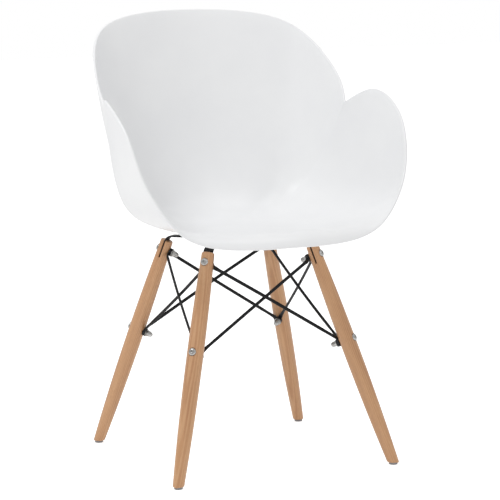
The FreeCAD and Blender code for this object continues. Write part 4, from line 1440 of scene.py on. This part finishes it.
@dataclass
class ButtonBolt:
    """A domed head with a hexagon socket and a stub of its shank, modelled once and copied."""

    name: str
    head_radius: float
    head_height: float
    shank_radius: float
    shank_length: float
    socket_width: float = 0.004
    socket_depth: float = 0.0024
    rim_share: float = 0.35
    dome_turns: tuple[float, ...] = (0.0, 20.0, 40.0, 58.0)
    narrowing: float = 0.42 / 0.47
    socket_overrun: float = 0.002
    edge: float = 0.00015

    def master(self) -> Workpiece:
        """Model the bolt with its head's seat at the origin and its head along +Z.

        Returns:
            The bolt in its own frame.
        """
        rim = self.head_height * self.rim_share
        dome = self.head_height - rim
        turns = [math.radians(turn) for turn in self.dome_turns]
        radius = self.head_radius
        piece = Workpiece.drum(self.name, radius, rim)
        with piece.edit():
            piece.pick(Element.FACES, lambda middle, normal: normal.z > FACING)
            for before, turn in zip(turns, turns[1:]):
                rise = dome * (math.sin(turn) - math.sin(before)) / math.sin(turns[-1])
                following = self.head_radius * (1 - self.narrowing * (1 - math.cos(turn)))
                piece.grow(UP * rise, following / radius)
                radius = following
            piece.pick(Element.FACES, lambda middle, normal: normal.z < -FACING)
            bpy.ops.mesh.inset(thickness=self.head_radius - self.shank_radius)
            piece.grow(-UP * self.shank_length)
        piece.tidy()
        piece.carve(Workpiece.drum(
            "socket", hexagon_radius(self.socket_width), self.socket_depth + self.socket_overrun,
            UP * (self.head_height - self.socket_depth), sides=6))
        piece.soften(self.edge, limit=50.0)
        piece.polish(30.0)
        return piece


@dataclass
class CapNut:
    """A hexagon with a domed cap, modelled once and copied."""

    name: str = "cap_nut"
    width: float = 0.010
    hex_height: float = 0.006
    length: float = 0.012
    dome_radius: float = 0.0048
    dome_steps: int = 7
    dome_step: float = 12.0
    edge: float = 0.0005

    def master(self) -> Workpiece:
        """Model the nut with its seat at the origin and its cap along +Z.

        Returns:
            The nut in its own frame.
        """
        hexagon = Workpiece.drum(self.name, hexagon_radius(self.width), self.hex_height, sides=6)
        hexagon.soften(self.edge, 3)
        cap = Workpiece.drum("cap", self.dome_radius, self.length - self.dome_radius, sides=40)
        turns = [math.radians(step * self.dome_step) for step in range(self.dome_steps + 1)]
        with cap.edit():
            cap.pick(Element.FACES, lambda middle, normal: normal.z > FACING)
            radius = self.dome_radius
            for before, turn in zip(turns, turns[1:]):
                following = self.dome_radius * math.cos(turn)
                cap.grow(UP * self.dome_radius * (math.sin(turn) - math.sin(before)), following / radius)
                radius = following
        cap.tidy()
        hexagon.take_in([cap])
        hexagon.polish()
        return hexagon


@dataclass
class LegFixings:
    """Bolts outside the legs and cap nuts inside them, four to a level."""

    layout: BaseLayout
    shank_radius: float = 0.003
    shank_length: float = 0.030

    def build(self, zinc: bpy.types.Material) -> None:
        """Model the bolts and nuts and put one set at each leg and level.

        Args:
            zinc: Their plating.
        """
        bolt = ButtonBolt("leg_bolt", 0.007, 0.004, self.shank_radius, self.shank_length).master()
        nut = CapNut().master()
        for level in Level:
            for place in LegPlace:
                at_bolt = self.layout.bolt_frame(place, level)
                head = bolt.twin(f"{level.value}_bolt_{place.label}")
                head.settle(at_bolt @ Matrix.Translation(UP * self.layout.head_seat(level)))
                head.hand_over(zinc, "zinc_steel", f"{level.value}_bolts")
                stack = 2 * self.layout.eye_thickness + self.layout.washer_thickness
                seat = self.layout.eye_seat(level) - stack
                cap = nut.twin(f"{level.value}_cap_nut_{place.label}")
                cap.settle(at_bolt @ Matrix.Translation(UP * seat) @ Matrix.Rotation(math.pi, 4, "Y"))
                cap.hand_over(zinc, "zinc_steel", f"{level.value}_cap_nuts")
        bpy.data.objects.remove(bolt.thing)
        bpy.data.objects.remove(nut.thing)
        dress_cad(zinc, "upper_washers", "lower_washers")


@dataclass
class SeatFixings:
    """What holds the tub on the cross: screws, washers, pads and inserts."""

    reach: float = 0.052
    seat: float = 0.4078
    shank_radius: float = 0.003
    shank_length: float = 0.016

    def build(self, zinc: bpy.types.Material, rubber: bpy.types.Material, brass: bpy.types.Material) -> None:
        """Model the screws and dress the rest.

        Args:
            zinc: Plating of the screws and washers.
            rubber: The pads.
            brass: The inserts.
        """
        screw = ButtonBolt("seat_screw", 0.006, 0.0036, self.shank_radius, self.shank_length).master()
        for place in LegPlace:
            spot = turned(place.value) @ Vector((self.reach, 0.0, self.seat))
            copy = screw.twin(f"seat_screw_{place.label}")
            copy.settle(Matrix.Translation(spot) @ Matrix.Rotation(math.pi, 4, "Y"))
            copy.hand_over(zinc, "zinc_steel", "seat_screws")
        bpy.data.objects.remove(screw.thing)
        dress_cad(zinc, "seat_washers", "seat_spring_washers")
        dress_cad(rubber, "rubber_pads")
        dress_cad(brass, "seat_inserts")


# ---------------------------------------------------------------------------------------------
# Crossed bracing rods
# ---------------------------------------------------------------------------------------------

@dataclass(frozen=True)
class Eye:
    """A rod's end: the middle of its eye, the bolt's direction and where its neck ends."""

    centre: Vector
    axis: Vector
    neck: Vector


@dataclass
class BracingRods:
    """Two steel rods on each side of the base, crossing where they are welded together."""

    layout: BaseLayout
    rod_radius: float = 0.00315
    neck_width: float = 0.008
    neck_length: float = 0.012
    swage_length: float = 0.010
    hole_radius: float = 0.0032
    weld_gap: float = 0.0003
    inside_share: float = 0.45
    swage_shares: tuple[float, ...] = (0.25, 0.5, 0.75, 1.0)
    rounding_power: float = 0.6
    eye_edge: float = 0.0003
    steps: int = 12
    corners: int = 20

    def eye(self, place: LegPlace, level: Level, layer: int) -> tuple[Vector, Vector]:
        """Middle and axis of an eye on a bolt; layer 0 lies against the wood.

        Args:
            place: Which leg.
            level: Which bolt.
            layer: 0 or 1.

        Returns:
            The eye's middle and the bolt's direction.
        """
        at_bolt = self.layout.bolt_frame(place, level)
        depth = self.layout.eye_seat(level) - (layer + 0.5) * self.layout.eye_thickness
        return at_bolt @ (UP * depth), at_bolt.to_3x3() @ UP

    def ends(self, top: LegPlace, low: LegPlace, layer: int) -> tuple[Eye, Eye]:
        """Both ends of a rod.

        Args:
            top: Leg whose upper bolt the rod starts on.
            low: Leg whose lower bolt it ends on.
            layer: Which layer its eyes lie in.

        Returns:
            The upper and the lower end.
        """
        upper = self.eye(top, Level.UPPER, layer)
        lower = self.eye(low, Level.LOWER, layer)
        found = []
        for (centre, axis), (other, _) in ((upper, lower), (lower, upper)):
            run = other - centre
            flat = (run - axis * run.dot(axis)).normalized()
            found.append(Eye(centre, axis, centre + flat * self.neck_length))
        return found[0], found[1]

    def middles(self, first: tuple[Eye, Eye], second: tuple[Eye, Eye]) -> tuple[Vector, Vector]:
        """Where two rods pass each other, each bowed so that they just touch.

        Args:
            first: Ends of the outer rod.
            second: Ends of the inner rod.

        Returns:
            The middle point of each rod.
        """
        a, b = first[0].neck, first[1].neck
        c, d = second[0].neck, second[1].neck
        normal = (b - a).cross(d - c).normalized()
        gap = (c - a).dot(normal)
        across = (d - c).cross(normal)
        near = a + (b - a) * ((c - a).dot(across) / (b - a).dot(across))
        if gap < 0:
            normal, gap = -normal, -gap
        bow = max(0.0, (2 * self.rod_radius + self.weld_gap - gap) / 2)
        return near - normal * bow, near + normal * (gap + bow)

    def path(self, ends: tuple[Eye, Eye], middle: Vector) -> list[Vector]:
        """Points down the middle of the round part, on one flat arc.

        Args:
            ends: The rod's ends.
            middle: Where it passes the other rod.

        Returns:
            The points from the upper swage to the lower one.
        """
        start, end = (eye.neck + (middle - eye.neck).normalized() * self.swage_length for eye in ends)
        chord = end - start
        share = (middle - start).dot(chord) / chord.length_squared
        bow = (middle - start - chord * share) / (4 * share * (1 - share))
        points = []
        for step in range(self.steps + 1):
            t = step / self.steps
            points.append(start + chord * t + bow * (4 * t * (1 - t)))
        return points

    def ring_of(self, middle: Vector, wide: Vector, thick: Vector, half_width: float,
                half_thick: float) -> list[Vector]:
        """Corners of a section, round where it is as thick as wide and squarer where it is flat.

        Args:
            middle: Its middle.
            wide: Unit vector across its width.
            thick: Unit vector across its thickness.
            half_width: Half its width.
            half_thick: Half its thickness.

        Returns:
            The corners in order.
        """
        square = min(1.0, half_thick / half_width) ** self.rounding_power
        corners = []
        for turn in (2 * math.pi * k / self.corners for k in range(self.corners)):
            across = math.copysign(abs(math.cos(turn)) ** square, math.cos(turn))
            out = math.copysign(abs(math.sin(turn)) ** square, math.sin(turn))
            corners.append(middle + wide * across * half_width + thick * out * half_thick)
        return corners

    def swage(self, eye: Eye, start: Vector, towards: float) -> list[list[Vector]]:
        """Sections from inside an eye, along its flat neck, to where the rod is round.

        Args:
            eye: The eye.
            start: Where the round part starts.
            towards: 1 if the rod runs away from this eye, -1 if it runs to it.

        Returns:
            The sections in order.
        """
        wide = eye.axis.cross((eye.neck - eye.centre).normalized() * towards).normalized()
        half, flat = self.neck_width / 2, self.layout.eye_thickness / 2
        inside = eye.centre + (eye.neck - eye.centre) * self.inside_share
        found = [self.ring_of(spot, wide, eye.axis, half, flat) for spot in (inside, eye.neck)]
        for share in self.swage_shares:
            ease = share * share * (3 - 2 * share)
            found.append(self.ring_of(
                eye.neck.lerp(start, share), wide, eye.axis,
                half + (self.rod_radius - half) * ease, flat + (self.rod_radius - flat) * ease))
        return found

    def sections(self, ends: tuple[Eye, Eye], middle: Vector) -> list[list[Vector]]:
        """Every section of a rod from inside its upper eye to inside its lower one.

        Args:
            ends: The rod's ends.
            middle: Where it passes the other rod.

        Returns:
            The sections in order.
        """
        path = self.path(ends, middle)
        upper, lower = ends
        found = self.swage(upper, path[0], 1.0)
        wide = upper.axis.cross((upper.neck - upper.centre).normalized()).normalized()
        for spot in path[1:-1]:
            found.append(self.ring_of(spot, wide, upper.axis, self.rod_radius, self.rod_radius))
        return found + self.swage(lower, path[-1], -1.0)[::-1]

    def rod(self, name: str, ends: tuple[Eye, Eye], middle: Vector) -> Workpiece:
        """Draw a rod out of a disc, section by section, and add its eyes.

        Args:
            name: The piece's name.
            ends: Its ends.
            middle: Where it passes the other rod.

        Returns:
            The rod.
        """
        count = self.corners
        sections = self.sections(ends, middle)
        piece = Workpiece.sheet(name, count, len(sections) - 1)
        for vert in piece.thing.data.vertices:
            corner = round((vert.co.x + 0.5) * count) % count
            row = round((vert.co.y + 0.5) * (len(sections) - 1))
            vert.co = sections[row][corner]
        piece.tidy()
        with piece.edit():
            bpy.ops.mesh.select_all(action="SELECT")
            bpy.ops.mesh.fill_holes(sides=0)
        piece.tidy()
        piece.take_in([self.eyelet(eye) for eye in ends])
        piece.polish(40.0)
        return piece

    def eyelet(self, eye: Eye) -> Workpiece:
        """The flat bored eye at one end of a rod.

        Args:
            eye: Where it goes.

        Returns:
            The eye.
        """
        thick = self.layout.eye_thickness
        piece = Workpiece.drum("eyelet", self.layout.eye_radius, thick, -UP * thick / 2, sides=40)
        piece.carve(Workpiece.drum("bore", self.hole_radius, thick * 2, -UP * thick, sides=32))
        piece.soften(self.eye_edge)
        turn = UP.rotation_difference(eye.axis).to_matrix().to_4x4()
        return piece.settle(Matrix.Translation(eye.centre) @ turn)

    def build(self, coat: bpy.types.Material) -> None:
        """Model all eight rods.

        Args:
            coat: Their finish.
        """
        for side in Side:
            start, following = side.value
            outer = self.ends(start, following, 0)
            inner = self.ends(following, start, 1)
            for number, (ends, middle) in enumerate(zip((outer, inner), self.middles(outer, inner)), start=1):
                label = f"{side.name.lower()}_{number}"
                rod = self.rod(f"bracing_{label}", ends, middle)
                rod.hand_over(coat, "black_steel", f"brace_rod_{label}")


# ---------------------------------------------------------------------------------------------
# Studio
# ---------------------------------------------------------------------------------------------

def heading(azimuth: float, elevation: float) -> Vector:
    """Unit vector away from the chair; azimuth 0 is straight in front, rising towards its right.

    Args:
        azimuth: Angle round the chair in degrees.
        elevation: Angle above the floor in degrees.

    Returns:
        The direction.
    """
    a, e = math.radians(azimuth), math.radians(elevation)
    return Vector((math.sin(a) * math.cos(e), -math.cos(a) * math.cos(e), math.sin(e)))


@dataclass(frozen=True)
class Softbox:
    """A large soft lamp aimed at the chair, placed by its angle round it and above it."""

    name: str
    azimuth: float
    elevation: float
    size: float
    power: float
    distance: float = 3.0
    aim_level: float = 0.45

    def build(self) -> None:
        """Hang the lamp."""
        data = bpy.data.lights.new(self.name, "AREA")
        data.shape = "SQUARE"
        data.size = self.size
        data.energy = self.power
        lamp = bpy.data.objects.new(self.name, data)
        away = heading(self.azimuth, self.elevation)
        lamp.location = UP * self.aim_level + away * self.distance
        lamp.rotation_euler = away.to_track_quat("Z", "Y").to_euler()
        bpy.context.scene.collection.objects.link(lamp)


@dataclass
class Studio:
    """A pale floor, soft light and the camera.

    The floor and the sky are seen whiter than they shine on the chair.
    """

    azimuth: float = -22.97
    elevation: float = 7.73
    roll: float = -0.94
    distance: float = 4.263
    aim_across: float = 0.0147
    aim_up: float = 0.3864
    lens: float = 161.06
    sensor: float = 36.0
    floor_size: float = 30.0
    sky_strength: float = 0.67
    floor_glow: float = 0.20
    backdrop_glow: float = 0.60

    def camera(self) -> None:
        """Set up the camera at the viewing angle."""
        r = math.radians(self.roll)
        back = heading(self.azimuth, self.elevation)
        level = heading(self.azimuth + 90.0, 0.0)
        upright = back.cross(level)
        right = level * math.cos(r) + upright * math.sin(r)
        up = upright * math.cos(r) - level * math.sin(r)
        data = bpy.data.cameras.new("camera")
        data.lens = self.lens
        data.sensor_width = self.sensor
        data.clip_end = 100.0
        camera = bpy.data.objects.new("camera", data)
        place = right * self.aim_across + up * self.aim_up + back * self.distance
        camera.matrix_world = Matrix.Translation(place) @ Matrix((right, up, back)).transposed().to_4x4()
        bpy.context.scene.collection.objects.link(camera)
        bpy.context.scene.camera = camera

    def floor(self) -> None:
        """Lay the floor."""
        piece = Workpiece.sheet("studio_floor", 1, 1)
        piece.settle(Matrix.Scale(self.floor_size, 4))
        skin = Surface("studio_floor")
        cloud = skin.wiring.add("ShaderNodeTexNoise", {"Vector": skin.place, "Scale": 0.6, "Detail": 2.0})
        skin.paint(cloud.outputs["Fac"], (0.95, 0.95, 0.95, 1.0), (0.97, 0.97, 0.97, 1.0))
        skin.feed("Roughness", 0.9)
        skin.feed("Specular IOR Level", 0.1)
        skin.feed("Emission Color", (1.0, 1.0, 1.0, 1.0))
        seen = skin.wiring.add("ShaderNodeLightPath").outputs["Is Camera Ray"]
        skin.feed("Emission Strength", skin.wiring.ramp(seen, 0.0, 1.0, self.floor_glow, self.backdrop_glow))
        piece.thing.data.materials.append(skin.material)

    def build(self) -> None:
        """Set up floor, sky, lamps and camera."""
        self.camera()
        self.floor()
        world = bpy.data.worlds.new("studio")
        bpy.context.scene.world = world
        world.use_nodes = True
        wiring = Wiring(world.node_tree)
        seen = wiring.add("ShaderNodeLightPath").outputs["Is Camera Ray"]
        sky = world.node_tree.nodes["Background"]
        sky.inputs["Color"].default_value = (1.0, 1.0, 1.0, 1.0)
        wiring.feed(sky.inputs["Strength"], wiring.ramp(seen, 0.0, 1.0, self.sky_strength, 1.0))
        bpy.context.scene.view_settings.view_transform = "Standard"
        for box in (
            Softbox("side_softbox", -80.0, 54.0, 0.7, 24.5),
            Softbox("high_softbox", 60.0, 74.0, 0.9, 9.5),
        ):
            box.build()


# ---------------------------------------------------------------------------------------------
# Assembly
# ---------------------------------------------------------------------------------------------


def main() -> None:
    """Build every sub-assembly in order."""
    logging.basicConfig(level=logging.INFO, format="%(message)s")
    effects = Effects()
    layout = BaseLayout()
    white = MouldedPlastic("white_shell_plastic", (0.87, 0.875, 0.88, 1.0), (0.84, 0.845, 0.855, 1.0))
    nylon = MouldedPlastic("grey_nylon", (0.30, 0.30, 0.30, 1.0), (0.24, 0.24, 0.25, 1.0),
                           roughness=0.5, grain=0.0006, relief=0.1, drift=0.01)
    pad = MouldedPlastic("black_rubber", (0.020, 0.020, 0.021, 1.0), (0.035, 0.035, 0.035, 1.0),
                         roughness=0.7, grain=0.0008, relief=0.2, drift=0.01)
    zinc = BareMetal("bright_zinc", (0.58, 0.58, 0.57, 1.0), (0.34, 0.33, 0.31, 1.0), 0.20).build(effects)
    brass = BareMetal("plain_brass", (0.78, 0.56, 0.26, 1.0), (0.55, 0.38, 0.18, 1.0), 0.32).build(effects)
    coat = PowderCoat("black_powder_coat").build(effects)
    grey = nylon.build(effects)

    log.info("tub seat")
    TubSeat().build(white.build(effects))
    log.info("legs and glides")
    for place in LegPlace:
        beech = LacqueredBeech(f"beech_{place.label}").build(effects, layout.leg_frame(place))
        TurnedLeg(layout, place).build(beech, grey)
    log.info("cross")
    FlatCross(layout).build(coat)
    log.info("fixings")
    LegFixings(layout).build(zinc)
    SeatFixings().build(zinc, pad.build(effects), brass)
    log.info("bracing rods")
    BracingRods(layout).build(coat)
    log.info("studio")
    Studio().build()


if __name__ == "__main__":
    main()
